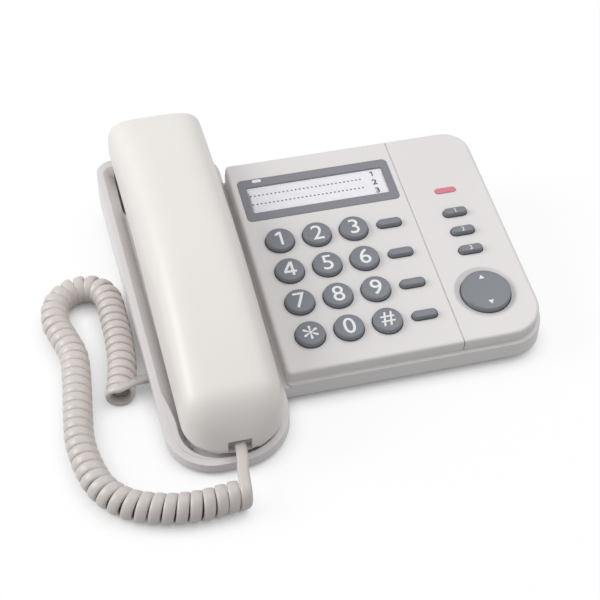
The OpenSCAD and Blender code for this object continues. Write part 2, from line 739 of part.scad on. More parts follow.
module line_jack() color(dark) difference() {
  translate([line_jack_x - line_w / 2 - line_wall, rear_in_y - line_l - 0.2, line_z0 - line_wall])
    cube([line_w + 2 * line_wall, line_l, line_h + 2 * line_wall]);
  translate([line_jack_x - line_w / 2, rear_in_y - line_l + 1.2, line_z0]) cube([line_w, line_l, line_h]);
}
slider_gap = 0.3;
knob_w = switch_w - switch_travel - 2 * slider_gap;
module slide_switches() color(dark) for (x = switch_places) difference() {
  translate([x - switch_w / 2 - 2, rear_in_y - 7.4, switch_z - switch_h / 2 - 1.4])
    cube([switch_w + 4, 7.2, switch_h + 2.8]);
  translate([x - switch_w / 2 - 0.5, rear_in_y - 4.6, switch_z - switch_h / 2 + 0.1])
    cube([switch_w + 1, 8, switch_h - 0.2]);
}
module slider(x) {
  translate([x - switch_w / 2 + slider_gap, rear_in_y - 4.4, switch_z - switch_h / 2 + slider_gap + 0.1])
    cube([knob_w, 4.4 + wall + 1.4, switch_h - 2 * slider_gap - 0.2]);
}
module ringer_switch() color(key_grey) slider(switch_places[0]);
module mode_switch() color(key_grey) slider(switch_places[1]);

module ringer_buzzer() color(dark) translate([vent_x, vent_y, inner_floor_z]) difference() {
  cylinder(r = 13, h = 6);
  translate([0, 0, -1]) cylinder(r = 10, h = 5);
}
module ballast_plate() color(steel) translate([deck_mid_x + 5, deck_front_y + 16, inner_floor_z]) cube([34, 46, 3]);

module feet() color(dark) for (p = foot_places) translate([p[0], p[1], 0]) {
  rotate_extrude() polygon([[0, 0], [foot_r - 0.5, 0], [foot_r, 0.5], [foot_r, foot_h], [0, foot_h]]);
}
module case_screws() color(steel) for (p = case_screw_places) translate([p[0], p[1], foot_h + 0.6]) {
  difference() {
    cylinder(r = screw_head_r, h = screw_head_h);
    for (a = [0, 90]) rotate([0, 0, a]) translate([-1.8, -0.4, -1]) cube([3.6, 0.8, 1.8]);
  }
  translate([0, 0, screw_head_h]) cylinder(r = screw_r, h = case_screw_l - screw_head_h);
}

// ---- handset --------------------------------------------------------------------------

// Blend of three values along the handset, with the middle one at v = 0
function along(v, near, mid, far_value) =
  v < handset_mid_v ? mid + (near - mid) * pow((v - handset_mid_v) / (handset_near_v - handset_mid_v), 1.8)
    : mid + (far_value - mid) * pow((v - handset_mid_v) / (handset_far_v - handset_mid_v), 1.8);
function end_round(v, near_l, far_l, power) =
  v < handset_near_v + near_l ? pow(max(0, 1 - pow((handset_near_v + near_l - v) / near_l, 2.3)), 1 / power)
  : v > handset_far_v - far_l ? pow(max(0, 1 - pow((v - handset_far_v + far_l) / far_l, 2.5)), 1 / power) : 1;
function half_width(v) =
  along(v, half_w_near, half_w_grip, half_w_far) * end_round(v, near_round, far_round, 2.2);
function crown(v) = along(v, crown_near, crown_grip, crown_far) * end_round(v, near_dome, far_dome, 2.2);
function signed_pow(x, p) = sign(x) * pow(abs(x), p);
function profile(v, inset, base) = let (w = half_width(v) - inset, h = max(crown(v) - inset - base, 0.4))
  [for (i = [0:ring_points]) let (a = 180 - 180 * i / ring_points)
    [grip_x + w * signed_pow(cos(a), 2 / profile_power), v, base + h * pow(sin(a), 2 / profile_power)]];
// Stations along the handset, closer together towards its ends
function station(i, v0, v1) = (v0 + v1) / 2 - (v1 - v0) / 2 * cos(8 + 164 * i / ring_count) / cos(8);
module back_form(v0, v1, inset, base) {
  on_cradle() loft([for (i = [0:ring_count]) profile(station(i, v0, v1), inset, base)]);
}
function plan_half(inset) = [for (i = [0:ring_count])
  let (v = station(i, handset_near_v + inset + end_cut, handset_far_v - inset - end_cut))
  [max(half_width(v) - inset, 0.2), v]];
end_cut = 0.06;
module handset_plan(inset = 0) {
  half = plan_half(inset);
  translate([grip_x, 0]) polygon(concat(half, [for (i = [len(half) - 1:-1:0]) [-half[i][0], half[i][1]]]));
}

// jack and plug of the handset
hjack_w = 10.6;
hjack_h = 7.2;
hjack_n = 1.6;
hjack_l = 13;
plug_w = 7.2;
plug_h = 4.6;
plug_n = seam_n + 0.6;
plug_l = 11;
face_t = 2;
module handset_jack_opening() {
  on_cradle() translate([grip_x - hjack_w / 2, handset_near_v - 5, hjack_n]) cube([hjack_w, 9, hjack_h]);
}
handset_screw_v = [0.42 * handset_near_v, 0.28 * handset_far_v];
hs_boss_r = 3.4;

module handset_back_shell() color(ivory) difference() {
  back_form(handset_near_v + end_cut, handset_far_v - end_cut, 0, seam_n);
  difference() {
    back_form(handset_near_v + hs_wall, face_rear_v - 1, hs_wall, seam_n - 1);
    on_cradle() for (v = handset_screw_v) translate([grip_x, v, -5]) cylinder(r = hs_boss_r, h = 60);
  }
  on_cradle() for (v = handset_screw_v) translate([grip_x, v, -5]) cylinder(r = 1.25, h = 15);
  handset_jack_opening();
}

face_rear_v = ear_v + ear_cap_d / 2 + 0.6;
mouth_bottom_z = well_floor_z + seat_gap;
mouth_rear_v = mouth_well_rear_v - 4;
ear_floor_t = 2;
mouth_in = 8.4;
plate_in = 1.8;
module face_plan(inset) {
  intersection() {
    handset_plan(inset);
    translate([-far / 2, face_rear_v - far]) square(far);
  }
}
module mouth_room(inset) {
  intersection() {
    on_cradle() translate([0, 0, -20]) linear_extrude(20 + seam_n) intersection() {
      handset_plan(mouth_in + inset);
      translate([-far / 2, mouth_rear_v - inset - far]) square(far);
    }
    translate([-far / 2, -far / 2, mouth_bottom_z + inset]) cube(far);
  }
}
module handset_face_shell() color(ivory) difference() {
  union() {
    on_cradle() {
      translate([0, 0, face_bottom]) linear_extrude(seam_n - face_bottom) face_plan(plate_in);
      translate([grip_x, ear_v, -ear_cap_depth]) {
        cylinder(d1 = ear_cap_d - 3, d2 = ear_cap_d, h = 1.5);
        translate([0, 0, 1.5]) cylinder(d = ear_cap_d, h = ear_cap_depth + seam_n - 1.5);
      }
    }
    mouth_room(0);
  }
  // hollow of the ear cap and its sound holes
  on_cradle() translate([grip_x, ear_v, -ear_cap_depth]) {
    translate([0, 0, ear_floor_t]) cylinder(d = ear_cap_d - 2 * hs_wall, h = 40);
    translate([0, 0, -1]) cylinder(r = 0.9, h = 6);
    for (a = [0:60:300]) rotate([0, 0, a]) translate([6, 0, -1]) cylinder(r = 0.9, h = 6);
    for (a = [0:30:330]) rotate([0, 0, a]) translate([11, 0, -1]) cylinder(r = 0.9, h = 6);
  }
  // room for the microphone, its sound holes and the two screws
  on_cradle() {
    translate([grip_x, mic_v, mic_n - 0.2]) cylinder(r = mic_r + 0.2, h = 20);
    for (i = [-2:2]) translate([grip_x + i * 3, mic_v, -12]) cylinder(r = 0.6, h = 14);
    for (v = handset_screw_v) translate([grip_x, v, face_bottom - 1]) {
      cylinder(r = 1.4, h = 10);
      cylinder(r = 2.6, h = 2);
    }
  }
  handset_jack_opening();
}
mic_v = handset_near_v + 30;
mic_r = 4.8;
mic_n = -1;
module receiver_capsule() color(dark) on_cradle() translate([grip_x, ear_v, -ear_cap_depth + ear_floor_t]) {
  cylinder(d = ear_cap_d - 2 * hs_wall - 0.4, h = 3);
  cylinder(d = 24, h = 8);
}
module microphone() color(steel) on_cradle() translate([grip_x, mic_v, mic_n - 0.2])
  cylinder(r = mic_r, h = 4);
module handset_weight() color(steel) on_cradle() translate([grip_x - 10, handset_screw_v[0] + 8, seam_n])
  cube([20, handset_screw_v[1] - handset_screw_v[0] - 26, 5]);
module handset_jack() color(dark) on_cradle() difference() {
  translate([grip_x - hjack_w / 2 - 0.8, handset_near_v + 4.2, seam_n])
    cube([hjack_w + 1.6, hjack_l, plug_h + 2.4]);
  translate([grip_x - hjack_w / 2 + 0.6, handset_near_v + 3, plug_n - 0.2])
    cube([hjack_w - 1.2, hjack_l, plug_h + 0.4]);
}
module handset_screws() color(steel) on_cradle() for (v = handset_screw_v)
  translate([grip_x, v, face_bottom + 0.2]) {
    cylinder(r = 2.4, h = 0.8);
    cylinder(r = 1.2, h = 9);
  }

// ---- cord -----------------------------------------------------------------------------

// One tube of the cord's outer form along a list of points; wide and thick are its two sizes
module cord_tube(route, wide, thick, sides) {
  loft([for (i = [0:len(route) - 1]) let (
      a = route[max(i - 1, 0)], b = route[min(i + 1, len(route) - 1)], d = (b - a) / norm(b - a),
      side = cross([0, 0, 1], d) / norm(cross([0, 0, 1], d)), up = cross(d, side))
    [for (j = [0:sides - 1]) let (t = 360 * j / sides)
      route[i] - side * wide / 2 * cos(t) + up * thick / 2 * sin(t)]]);
}
// Points between the chosen ones, on a smooth curve through them
function smooth(p, per) = concat([for (i = [0:len(p) - 2]) let (
    a = p[max(i - 1, 0)], b = p[i], c = p[i + 1], d = p[min(i + 2, len(p) - 1)])
  for (k = [0:per - 1]) let (t = k / per)
    0.5 * (2 * b + (c - a) * t + (2 * a - 5 * b + 4 * c - d) * t * t + (3 * b - a - 3 * c + d) * t * t * t)],
  [p[len(p) - 1]]);

coil_z = coil_d / 2 + 0.15;
// Routes on the table, measured from the front lip
coil_route = [[-107, 51.6, coil_z], [-103, 70.5, coil_z], [-101.6, 88.5, coil_z], [-101.6, 106.5, coil_z],
  [-102.2, 119.5, coil_z], [-106, 126.5, coil_z], [-113, 129, coil_z], [-121, 127, coil_z],
  [-127.5, 119.5, coil_z], [-129, 107.5, coil_z], [-126.5, 96, coil_z], [-123.8, 82.5, coil_z],
  [-125, 64.5, coil_z], [-127, 46.5, coil_z], [-128.5, 29.5, coil_z], [-127, 13.5, coil_z],
  [-123, -0.5, coil_z], [-114, -11.5, coil_z], [-100, -18, coil_z], [-85, -20.3, coil_z],
  [-72, -19.3, coil_z], [-64.5, -18.6, coil_z]];
lead_top_z = coil_z + coil_d / 2 - flat_t / 2;
base_lead_route = [[-90.9, jack_y - front_y, jack_mid_z], [-92.5, jack_y - front_y, jack_mid_z],
  [-95, 60.7, jack_mid_z + 0.2], [-98.5, 58.6, 7.9], [-102, 55, 10.8], [-105, 53, lead_top_z - 0.1], [-108, 52.4, lead_top_z - 0.3]];
handset_lead_route = [[grip_x, 4.75, 13.1], [grip_x, 1.5, 13], [-62.4, -4, 12.8], [-63.6, -10, 12.6],
  [-64.6, -15.5, lead_top_z], [-65, -19, lead_top_z - 0.3]];

module cord_coil() color("#CDC6C2") translate([0, front_y, 0])
  cord_tube(smooth(coil_route, 2), coil_d, coil_d, 12);
module cord_base_lead() color("#CDC6C2") translate([0, front_y, 0])
  cord_tube(smooth(base_lead_route, 2), flat_w, flat_t, 8);
module cord_handset_lead() color("#CDC6C2") translate([0, front_y, 0])
  cord_tube(smooth(handset_lead_route, 2), flat_w, flat_t, 8);
module base_plug() color("#D8DADC", 0.6)
  translate([left_x + 4.4, jack_y - 3.6, jack_z0 + 0.2]) cube([10.4, 7.2, jack_h - 0.4]);
module handset_plug() color("#D8DADC", 0.6) on_cradle()
  translate([grip_x - plug_w / 2, handset_near_v + 2, plug_n]) cube([plug_w, plug_l, plug_h]);

lower_case();
upper_case();
side_panel();
index_frame();
index_card();
index_cover();
ringer_lamp();
keypad_mat();
circuit_board();
board_screws();
hook_plunger();
hook_switch();
handset_hanger();
cord_jack();
line_jack();
slide_switches();
ringer_switch();
mode_switch();
ringer_buzzer();
ballast_plate();
feet();
case_screws();
volume_key();
bar_key(memory_place(0), memory_key_l);  // memory_key_1
bar_key(memory_place(1), memory_key_l);  // memory_key_2
bar_key(memory_place(2), memory_key_l);  // memory_key_3
bar_key(function_place(0), function_key_l);  // function_key_1
bar_key(function_place(1), function_key_l);  // function_key_2
bar_key(function_place(2), function_key_l);  // function_key_3
bar_key(function_place(3), function_key_l);  // function_key_4
dial_key(0, 0);  // dial_key_1
dial_key(1, 0);  // dial_key_2
dial_key(2, 0);  // dial_key_3
dial_key(0, 1);  // dial_key_4
dial_key(1, 1);  // dial_key_5
dial_key(2, 1);  // dial_key_6
dial_key(0, 2);  // dial_key_7
dial_key(1, 2);  // dial_key_8
dial_key(2, 2);  // dial_key_9
dial_key(0, 3);  // dial_key_star
dial_key(1, 3);  // dial_key_0
dial_key(2, 3);  // dial_key_hash
handset_back_shell();
handset_face_shell();
receiver_capsule();
microphone();
handset_weight();
handset_jack();
handset_screws();
base_plug();
cord_base_lead();
cord_coil();
cord_handset_lead();
handset_plug();
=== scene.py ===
"""A corded desk telephone, dressed over its solid model.

Everything is in metres in the model's own frame: X to the right, Y to the back, Z up from the
table, with the origin under the middle of the telephone.
"""

import math

import bmesh
import bpy
from bpy.props import FloatProperty, PointerProperty, StringProperty
from mathutils import Matrix, Vector


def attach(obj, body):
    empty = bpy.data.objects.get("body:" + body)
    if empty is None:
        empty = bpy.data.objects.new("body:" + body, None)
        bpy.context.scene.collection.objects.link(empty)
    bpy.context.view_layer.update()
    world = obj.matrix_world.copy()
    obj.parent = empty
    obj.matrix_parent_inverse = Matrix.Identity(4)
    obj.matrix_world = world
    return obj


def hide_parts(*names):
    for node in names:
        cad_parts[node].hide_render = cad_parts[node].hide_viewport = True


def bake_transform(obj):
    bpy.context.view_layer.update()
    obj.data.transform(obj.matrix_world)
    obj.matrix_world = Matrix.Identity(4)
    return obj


bl_info = {
    "name": "Corded desk telephone",
    "version": (1, 0, 0),
    "blender": (4, 5, 0),
    "location": "View3D > Sidebar > Telephone",
    "description": "Builds the handset, legends, coiled cord and finishes of a desk telephone",
    "category": "Object",
}

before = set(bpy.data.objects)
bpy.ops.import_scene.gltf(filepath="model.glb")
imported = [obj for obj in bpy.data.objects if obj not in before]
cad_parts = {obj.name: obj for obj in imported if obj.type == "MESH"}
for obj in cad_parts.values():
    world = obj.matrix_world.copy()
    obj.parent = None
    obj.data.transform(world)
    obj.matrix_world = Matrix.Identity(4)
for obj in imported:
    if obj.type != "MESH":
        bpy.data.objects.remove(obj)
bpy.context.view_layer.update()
MM = 0.001

# Sizes of the base, in millimetres
CRADLE_W, DECK_W, DECK_L, BASE_D, OVERHANG = 62.6, 127.4, 132.8, 196.0, 13.4
BASE_W = CRADLE_W + DECK_W
FRONT_Y = -(BASE_D + OVERHANG) / 2
CRADLE_TILT = math.radians(7.63)
RIM_Z = 6.5 - FRONT_Y * math.tan(CRADLE_TILT)
DECK_TILT = math.radians(9.8)
DECK_LEFT_X = BASE_W / 2 - DECK_W
DECK_FRONT_Y = FRONT_Y + 35.4
DECK_Z = 18.0 - DECK_FRONT_Y * math.tan(DECK_TILT)
DECK_FRONT_V = DECK_FRONT_Y / math.cos(DECK_TILT)
SIDE_PANEL_W = 42.8
PANEL_SEAM_X = BASE_W / 2 - SIDE_PANEL_W
KEYPAD_W = DECK_W - SIDE_PANEL_W
KEY_1 = (DECK_LEFT_X + 0.183 * KEYPAD_W, DECK_FRONT_V + 0.585 * DECK_L)
KEY_PITCH = (0.22 * KEYPAD_W, 0.147 * DECK_L)
KEY_D, KEY_RISE, BAR_KEY_RISE, VOLUME_RISE = 14.0, 2.6, 2.0, 1.7
FUNCTION_X = PANEL_SEAM_X - 0.162 * KEYPAD_W
BAR_KEY_W, FUNCTION_KEY_L, MEMORY_KEY_L, VOLUME_D = 4.6, 12.2, 11.8, 24.0
MEMORY_X, MEMORY_PITCH = BASE_W / 2 - 0.523 * SIDE_PANEL_W, 0.093 * DECK_L
VOLUME = (BASE_W / 2 - 0.549 * SIDE_PANEL_W, DECK_FRONT_V + 0.201 * DECK_L)
INDEX = (DECK_LEFT_X + 0.502 * KEYPAD_W, DECK_FRONT_V + 0.805 * DECK_L)
GRIP_X = (-BASE_W / 2 + 1.5 + DECK_LEFT_X) / 2 + 1.2


# ---- places ---------------------------------------------------------------------------


def tilted(x, v, n, tilt, z):
    """A point of a plane that rises to the back: x across, v up the slope, n off the plane."""
    return Vector((x, v * math.cos(tilt) - n * math.sin(tilt),
                   z + v * math.sin(tilt) + n * math.cos(tilt))) * MM


def on_deck(x, v, n):
    return tilted(x, v, n, DECK_TILT, DECK_Z)


def on_cradle(x, v, n):
    return tilted(x, v, n, CRADLE_TILT, RIM_Z)


# ---- materials ------------------------------------------------------------------------


def linear(hex_colour):
    """An sRGB hex colour as linear RGBA."""
    parts = [int(hex_colour[i:i + 2], 16) / 255 for i in (1, 3, 5)]
    return [p / 12.92 if p <= 0.04045 else ((p + 0.055) / 1.055) ** 2.4 for p in parts] + [1.0]


def add(tree, kind, inputs=None, **settings):
    """Adds a node, sets its settings, and sets or links its inputs."""
    made = tree.nodes.new(kind)
    for name, value in settings.items():
        setattr(made, name, value)
    for name, value in (inputs or {}).items():
        if isinstance(value, bpy.types.NodeSocket):
            tree.links.new(value, made.inputs[name])
        else:
            made.inputs[name].default_value = value
    return made


def new_material(name):
    """An empty material, its tree, and the place of each point on the object."""
    material = bpy.data.materials.new(name)
    material.use_nodes = True
    tree = material.node_tree
    tree.nodes.clear()
    return material, tree, add(tree, "ShaderNodeTexCoord").outputs["Object"]


def close(tree, shader):
    """Ends a material's tree with its shader."""
    add(tree, "ShaderNodeOutputMaterial", {"Surface": shader.outputs[0]})


def ramp(tree, factor, *stops):
    """A colour ramp between two stops, each a position and a colour."""
    made = add(tree, "ShaderNodeValToRGB", {"Fac": factor})
    for element, stop in zip(made.color_ramp.elements, stops):
        element.position, element.color = stop
    return made


def shade(colour, factor):
    return [c * factor for c in colour[:3]] + [1.0]


def moulded_plastic(name, hex_colour, roughness, grain_mm, depth_mm, edge_mm, spread, ior=1.53, **extra):
    """Moulded plastic: an even colour with a faint flow, and the fine grain of an etched tool."""
    material, tree, where = new_material(name)
    colour = linear(hex_colour)
    # slow drift of the colour over a few centimetres, as pigment flows in the mould
    flow = add(tree, "ShaderNodeTexNoise", {"Vector": where, "Scale": 18.0, "Detail": 2.0})
    brighter = min(1 + spread, 1 / max(colour[:3]))
    tint = ramp(tree, flow.outputs["Fac"], (0.3, shade(colour, 1 - spread)), (0.7, shade(colour, brighter)))
    grain = add(tree, "ShaderNodeTexNoise",
                {"Vector": where, "Scale": 1 / (grain_mm * MM), "Detail": 3.0, "Roughness": 0.6})
    gloss = add(tree, "ShaderNodeMapRange", {"Value": grain.outputs["Fac"], "From Min": 0.3, "From Max": 0.7,
                                             "To Min": roughness - 0.04, "To Max": roughness + 0.05})
    # every edge that a mould makes is a little round
    edge = add(tree, "ShaderNodeBevel", {"Radius": edge_mm * MM}, samples=6)
    bump = add(tree, "ShaderNodeBump", {"Height": grain.outputs["Fac"], "Normal": edge.outputs[0],
                                        "Strength": 0.5, "Distance": depth_mm * MM})
    inputs = {"Base Color": tint.outputs["Color"], "Roughness": gloss.outputs[0], "IOR": ior,
              "Normal": bump.outputs[0]}
    inputs.update({name.replace("_", " "): value for name, value in extra.items()})
    close(tree, add(tree, "ShaderNodeBsdfPrincipled", inputs))
    return material


def plated_steel(name, hex_colour):
    """Zinc plated steel: a metal with fine scratches from the forming, all one way."""
    material, tree, where = new_material(name)
    stretch = add(tree, "ShaderNodeMapping", {"Vector": where, "Scale": (400.0, 4000.0, 400.0)})
    scratch = add(tree, "ShaderNodeTexNoise", {"Vector": stretch.outputs[0], "Scale": 1.0, "Detail": 4.0})
    gloss = add(tree, "ShaderNodeMapRange", {"Value": scratch.outputs["Fac"], "To Min": 0.25, "To Max": 0.5})
    bump = add(tree, "ShaderNodeBump", {"Height": scratch.outputs["Fac"], "Strength": 0.2,
                                        "Distance": 0.02 * MM})
    close(tree, add(tree, "ShaderNodeBsdfPrincipled", {
        "Base Color": linear(hex_colour), "Metallic": 1.0, "Roughness": gloss.outputs[0],
        "Normal": bump.outputs[0]}))
    return material


def index_card_stock(name, hex_colour):
    """Uncoated card: white with a soft fibre."""
    material, tree, where = new_material(name)
    fibre = add(tree, "ShaderNodeTexNoise", {"Vector": where, "Scale": 1 / (0.6 * MM), "Detail": 5.0})
    white = linear(hex_colour)
    paper = ramp(tree, fibre.outputs["Fac"], (0.3, shade(white, 0.94)), (0.7, white))
    bump = add(tree, "ShaderNodeBump", {"Height": fibre.outputs["Fac"], "Strength": 0.3,
                                        "Distance": 0.05 * MM})
    close(tree, add(tree, "ShaderNodeBsdfPrincipled", {
        "Base Color": paper.outputs["Color"], "Roughness": 0.8, "IOR": 1.5, "Normal": bump.outputs[0]}))
    return material


def acrylic_sheet(name, hex_colour):
    """Clear cast acrylic: passes nearly all light, with a soft glare of the room on it."""
    material, tree, where = new_material(name)
    rub = add(tree, "ShaderNodeTexNoise", {"Vector": where, "Scale": 1 / (3.0 * MM), "Detail": 3.0})
    gloss = add(tree, "ShaderNodeMapRange", {"Value": rub.outputs["Fac"], "To Min": 0.02, "To Max": 0.06})
    close(tree, add(tree, "ShaderNodeBsdfPrincipled", {
        "Base Color": linear(hex_colour), "Roughness": gloss.outputs[0], "IOR": 1.49, "Alpha": 0.07}))
    return material


def printed_ink(name, hex_colour):
    """Pad-printed ink: flat, dense and a little duller than the plastic round it."""
    material, tree, where = new_material(name)
    mottle = add(tree, "ShaderNodeTexNoise", {"Vector": where, "Scale": 1 / (0.4 * MM), "Detail": 2.0})
    colour = linear(hex_colour)
    ink = ramp(tree, mottle.outputs["Fac"], (0.35, shade(colour, 0.92)), (0.6, colour))
    close(tree, add(tree, "ShaderNodeBsdfPrincipled", {
        "Base Color": ink.outputs["Color"], "Roughness": 0.5, "IOR": 1.5}))
    return material


def circuit_laminate(name, hex_colour):
    """Glass-epoxy board under green resist: glossy, with copper tracks showing through it."""
    material, tree, where = new_material(name)
    colour = linear(hex_colour)
    tracks = add(tree, "ShaderNodeTexBrick", {
        "Vector": where, "Color1": colour, "Color2": shade(colour, 0.8), "Mortar": shade(colour, 1.7),
        "Scale": 1 / (6.0 * MM), "Mortar Size": 0.04})
    close(tree, add(tree, "ShaderNodeBsdfPrincipled", {
        "Base Color": tracks.outputs["Color"], "Roughness": 0.3, "IOR": 1.52}))
    return material


MATERIALS = {}


def finish_all(context):
    """Makes every finish of the telephone, by name."""
    case = context.scene.telephone_case
    legend = context.scene.telephone_legends
    cord = context.scene.telephone_cord

    def plastic(key, name, colour, roughness, grain, depth, edge, spread, **more):
        MATERIALS[key] = moulded_plastic(name, colour, roughness, grain, depth, edge, spread, **more)

    # each row: roughness, then grain, its depth and the edges' radius in millimetres, then the colour's drift
    # ABS from a lightly etched tool: satin, so edges carry a broad soft highlight
    plastic("shell", "ABS_moulded_ivory", case.shell_colour, 0.36, 0.5, 0.02, 0.7, 0.01)
    plastic("handset", "ABS_moulded_ivory_satin", case.handset_colour, 0.42, 0.5, 0.015, 0.5, 0.01)
    # the same plastic in grey, a little shinier where fingers rub it
    plastic("keys", "ABS_moulded_grey", legend.key_colour, 0.34, 0.4, 0.015, 0.35, 0.03)
    plastic("frame", "ABS_moulded_grey_violet", legend.frame_colour, 0.42, 0.4, 0.03, 0.3, 0.02)
    # tinted acrylic: deep colour that glows where light gets in
    plastic("lens", "acrylic_moulded_pink", legend.lamp_colour, 0.18, 1.2, 0.01, 0.3, 0.05, ior=1.49,
            Transmission_Weight=0.25)
    # silicone rubber: dull and even
    plastic("silicone", "silicone_moulded_grey", "#4A4C50", 0.7, 0.8, 0.03, 0.3, 0.03, ior=1.41)
    plastic("dark", "nylon_moulded_black", "#2B2B2D", 0.5, 0.5, 0.03, 0.2, 0.05)
    plastic("rubber", "rubber_moulded_black", "#252527", 0.85, 0.7, 0.06, 0.4, 0.06, ior=1.52)
    # polycarbonate: clear and glossy, but thick enough to look grey
    plastic("plug", "polycarbonate_moulded_clear", "#D8DADC", 0.12, 1.0, 0.01, 0.3, 0.02, ior=1.58,
            Transmission_Weight=0.55)
    # soft PVC drawn through a die: waxy sheen along the cord
    plastic("jacket", "PVC_extruded_warm_grey", cord.jacket_colour, 0.36, 0.7, 0.02, 0.1, 0.03,
            Coat_Weight=0.15, Coat_Roughness=0.35)
    MATERIALS.update({
        "steel": plated_steel("steel_zinc_plated", "#B9BBBE"),
        "card": index_card_stock("card_uncoated_white", legend.card_colour),
        "cover": acrylic_sheet("acrylic_cast_clear", "#F2F6F8"),
        "ink_white": printed_ink("ink_pad_printed_white", "#F2F2F4"),
        "ink_grey": printed_ink("ink_pad_printed_grey", "#44444C"),
        "board": circuit_laminate("glass_epoxy_green", "#2F6B3C"),
    })


def wear(obj, key):
    """Puts one finish on every face of an object."""
    obj.data.materials.clear()
    obj.data.materials.append(MATERIALS[key])


# ---- meshes ---------------------------------------------------------------------------


SMOOTH_ANGLE = 35.0


def mesh_piece(name, points, faces, body, smooth_angle=SMOOTH_ANGLE):
    """A new object with a mesh, that moves with a body if one is named."""
    mesh = bpy.data.meshes.new(name)
    mesh.from_pydata([tuple(p) for p in points], [], faces)
    mesh.update()
    obj = bpy.data.objects.new(name, mesh)
    bpy.context.scene.collection.objects.link(obj)
    fair(obj, smooth_angle)
    if body:
        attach(obj, body)
    return obj


def face_outwards(mesh):
    shape = bmesh.new()
    shape.from_mesh(mesh)
    bmesh.ops.recalc_face_normals(shape, faces=shape.faces)
    shape.to_mesh(mesh)
    shape.free()


def fair(obj, smooth_angle=SMOOTH_ANGLE):
    """Faces look outwards, and only edges sharper than the angle stay sharp."""
    face_outwards(obj.data)
    obj.data.shade_smooth()
    obj.data.set_sharp_from_angle(angle=math.radians(smooth_angle))


def loft(rings):
    """Points and faces of a closed skin through rings that all have the same number of points."""
    count = len(rings[0])
    points = [p for ring in rings for p in ring]
    faces = []
    for i in range(len(rings) - 1):
        for j in range(count):
            k = (j + 1) % count
            faces.append((i * count + j, i * count + k, (i + 1) * count + k, (i + 1) * count + j))
    faces.append(tuple(range(count))[::-1])
    faces.append(tuple((len(rings) - 1) * count + j for j in range(count)))
    return points, faces


def cut_box(obj, low, high):
    """Cuts a box, given by two corners on the cradle's slope, out of an object."""
    corners = [on_cradle(x, v, n) for x in (low[0], high[0]) for v in (low[1], high[1])
               for n in (low[2], high[2])]
    faces = [(0, 1, 3, 2), (4, 6, 7, 5), (0, 4, 5, 1), (2, 3, 7, 6), (0, 2, 6, 4), (1, 5, 7, 3)]
    mesh = bpy.data.meshes.new("cut")
    mesh.from_pydata([tuple(c) for c in corners], [], faces)
    knife = bpy.data.objects.new("cut", mesh)
    bpy.context.scene.collection.objects.link(knife)
    face_outwards(mesh)
    step = obj.modifiers.new("cut", "BOOLEAN")
    step.object = knife
    step.operation = "DIFFERENCE"
    step.solver = "EXACT"
    apply_modifiers(obj)
    bpy.data.objects.remove(knife)


def apply_modifiers(obj):
    """Turns what an object's modifiers make into its own mesh."""
    bpy.context.view_layer.update()
    seen = obj.evaluated_get(bpy.context.evaluated_depsgraph_get())
    fresh = bpy.data.meshes.new_from_object(seen)
    obj.modifiers.clear()
    obj.data = fresh


# ---- handset --------------------------------------------------------------------------

HANDSET_FAR = -FRONT_Y / math.cos(CRADLE_TILT) + 0.1
HANDSET_NEAR = FRONT_Y / math.cos(CRADLE_TILT) + 3.9
HANDSET_MID = (HANDSET_NEAR + HANDSET_FAR) / 2 - 8.65
SEAM_N = 3.0
EAR_WELL = (HANDSET_FAR - 53.2, HANDSET_FAR - 16.6)
HALF_WIDTHS = (22.7, 23.1, 24.6)
MIDDLES = (0.0, 0.0, -0.9)
NEAR_ROUND, FAR_ROUND = 19, 14
CROWN_NEAR_ROUND, CROWN_FAR_ROUND = 17, 16
CROWNS = (24.6, 39.0, 21.0)
PROFILE_POWER = 4.5
# the skin stops this far inside the handset's ends, where its outline would shrink to a point
END_LOW, END_HIGH = HANDSET_NEAR + 0.06, HANDSET_FAR - 0.06
STATIONS, FIRST_ANGLE = 96, 6
JACK_OPENING = ((GRIP_X - 5.3, HANDSET_NEAR - 5, 1.6), (GRIP_X + 5.3, HANDSET_NEAR + 4, 8.8))
# heights over the rim, each with how far the plan is drawn in there
EDGE_STEPS = ((0.25, 1.4), (0.5, 0.9), (1.0, 0.6), (1.8, 0.42), (2.92, 0.4))
EAR_STEPS = ((-5.0, 1.6), (-4.7, 0.9), (-4.2, 0.4), (-3.4, 0.0), (2.9, 0.0))
EAR_HALF_W, EAR_NEAR_GAP, EAR_FAR_GAP = 23.2, 0.9, 0.8
EAR_NEAR_CORNER, EAR_FAR_CORNER = 7.0, 18.0


def along(v, values):
    """Blend of three values along the handset: at its near end, where it is highest, and at its far end."""
    near, mid, far = values
    end, value = (HANDSET_NEAR, near) if v < HANDSET_MID else (HANDSET_FAR, far)
    return mid + (value - mid) * ((v - HANDSET_MID) / (end - HANDSET_MID)) ** 1.8


def end_round(v, near_l, far_l):
    """Share of the full size that is left where the handset's two ends are rounded."""
    if v < HANDSET_NEAR + near_l:
        return max(0.0, 1 - ((HANDSET_NEAR + near_l - v) / near_l) ** 2.3) ** (1 / 2.2)
    if v > HANDSET_FAR - far_l:
        return max(0.0, 1 - ((v - HANDSET_FAR + far_l) / far_l) ** 2.5) ** (1 / 2.2)
    return 1.0


def handset_profile(v, steps=48):
    """The back shell's outline across the handset, from its seam over the top."""
    width = along(v, HALF_WIDTHS) * end_round(v, NEAR_ROUND, FAR_ROUND)
    middle = GRIP_X + along(v, MIDDLES)
    height = max(along(v, CROWNS) * end_round(v, CROWN_NEAR_ROUND, CROWN_FAR_ROUND) - SEAM_N, 0.4)
    ring = []
    for i in range(steps + 1):
        a = math.pi * i / steps
        c, s = math.cos(a), math.sin(a)
        ring.append(on_cradle(middle + width * math.copysign(abs(c) ** (2 / PROFILE_POWER), c), v,
                              SEAM_N + height * s ** (2 / PROFILE_POWER)))
    return ring


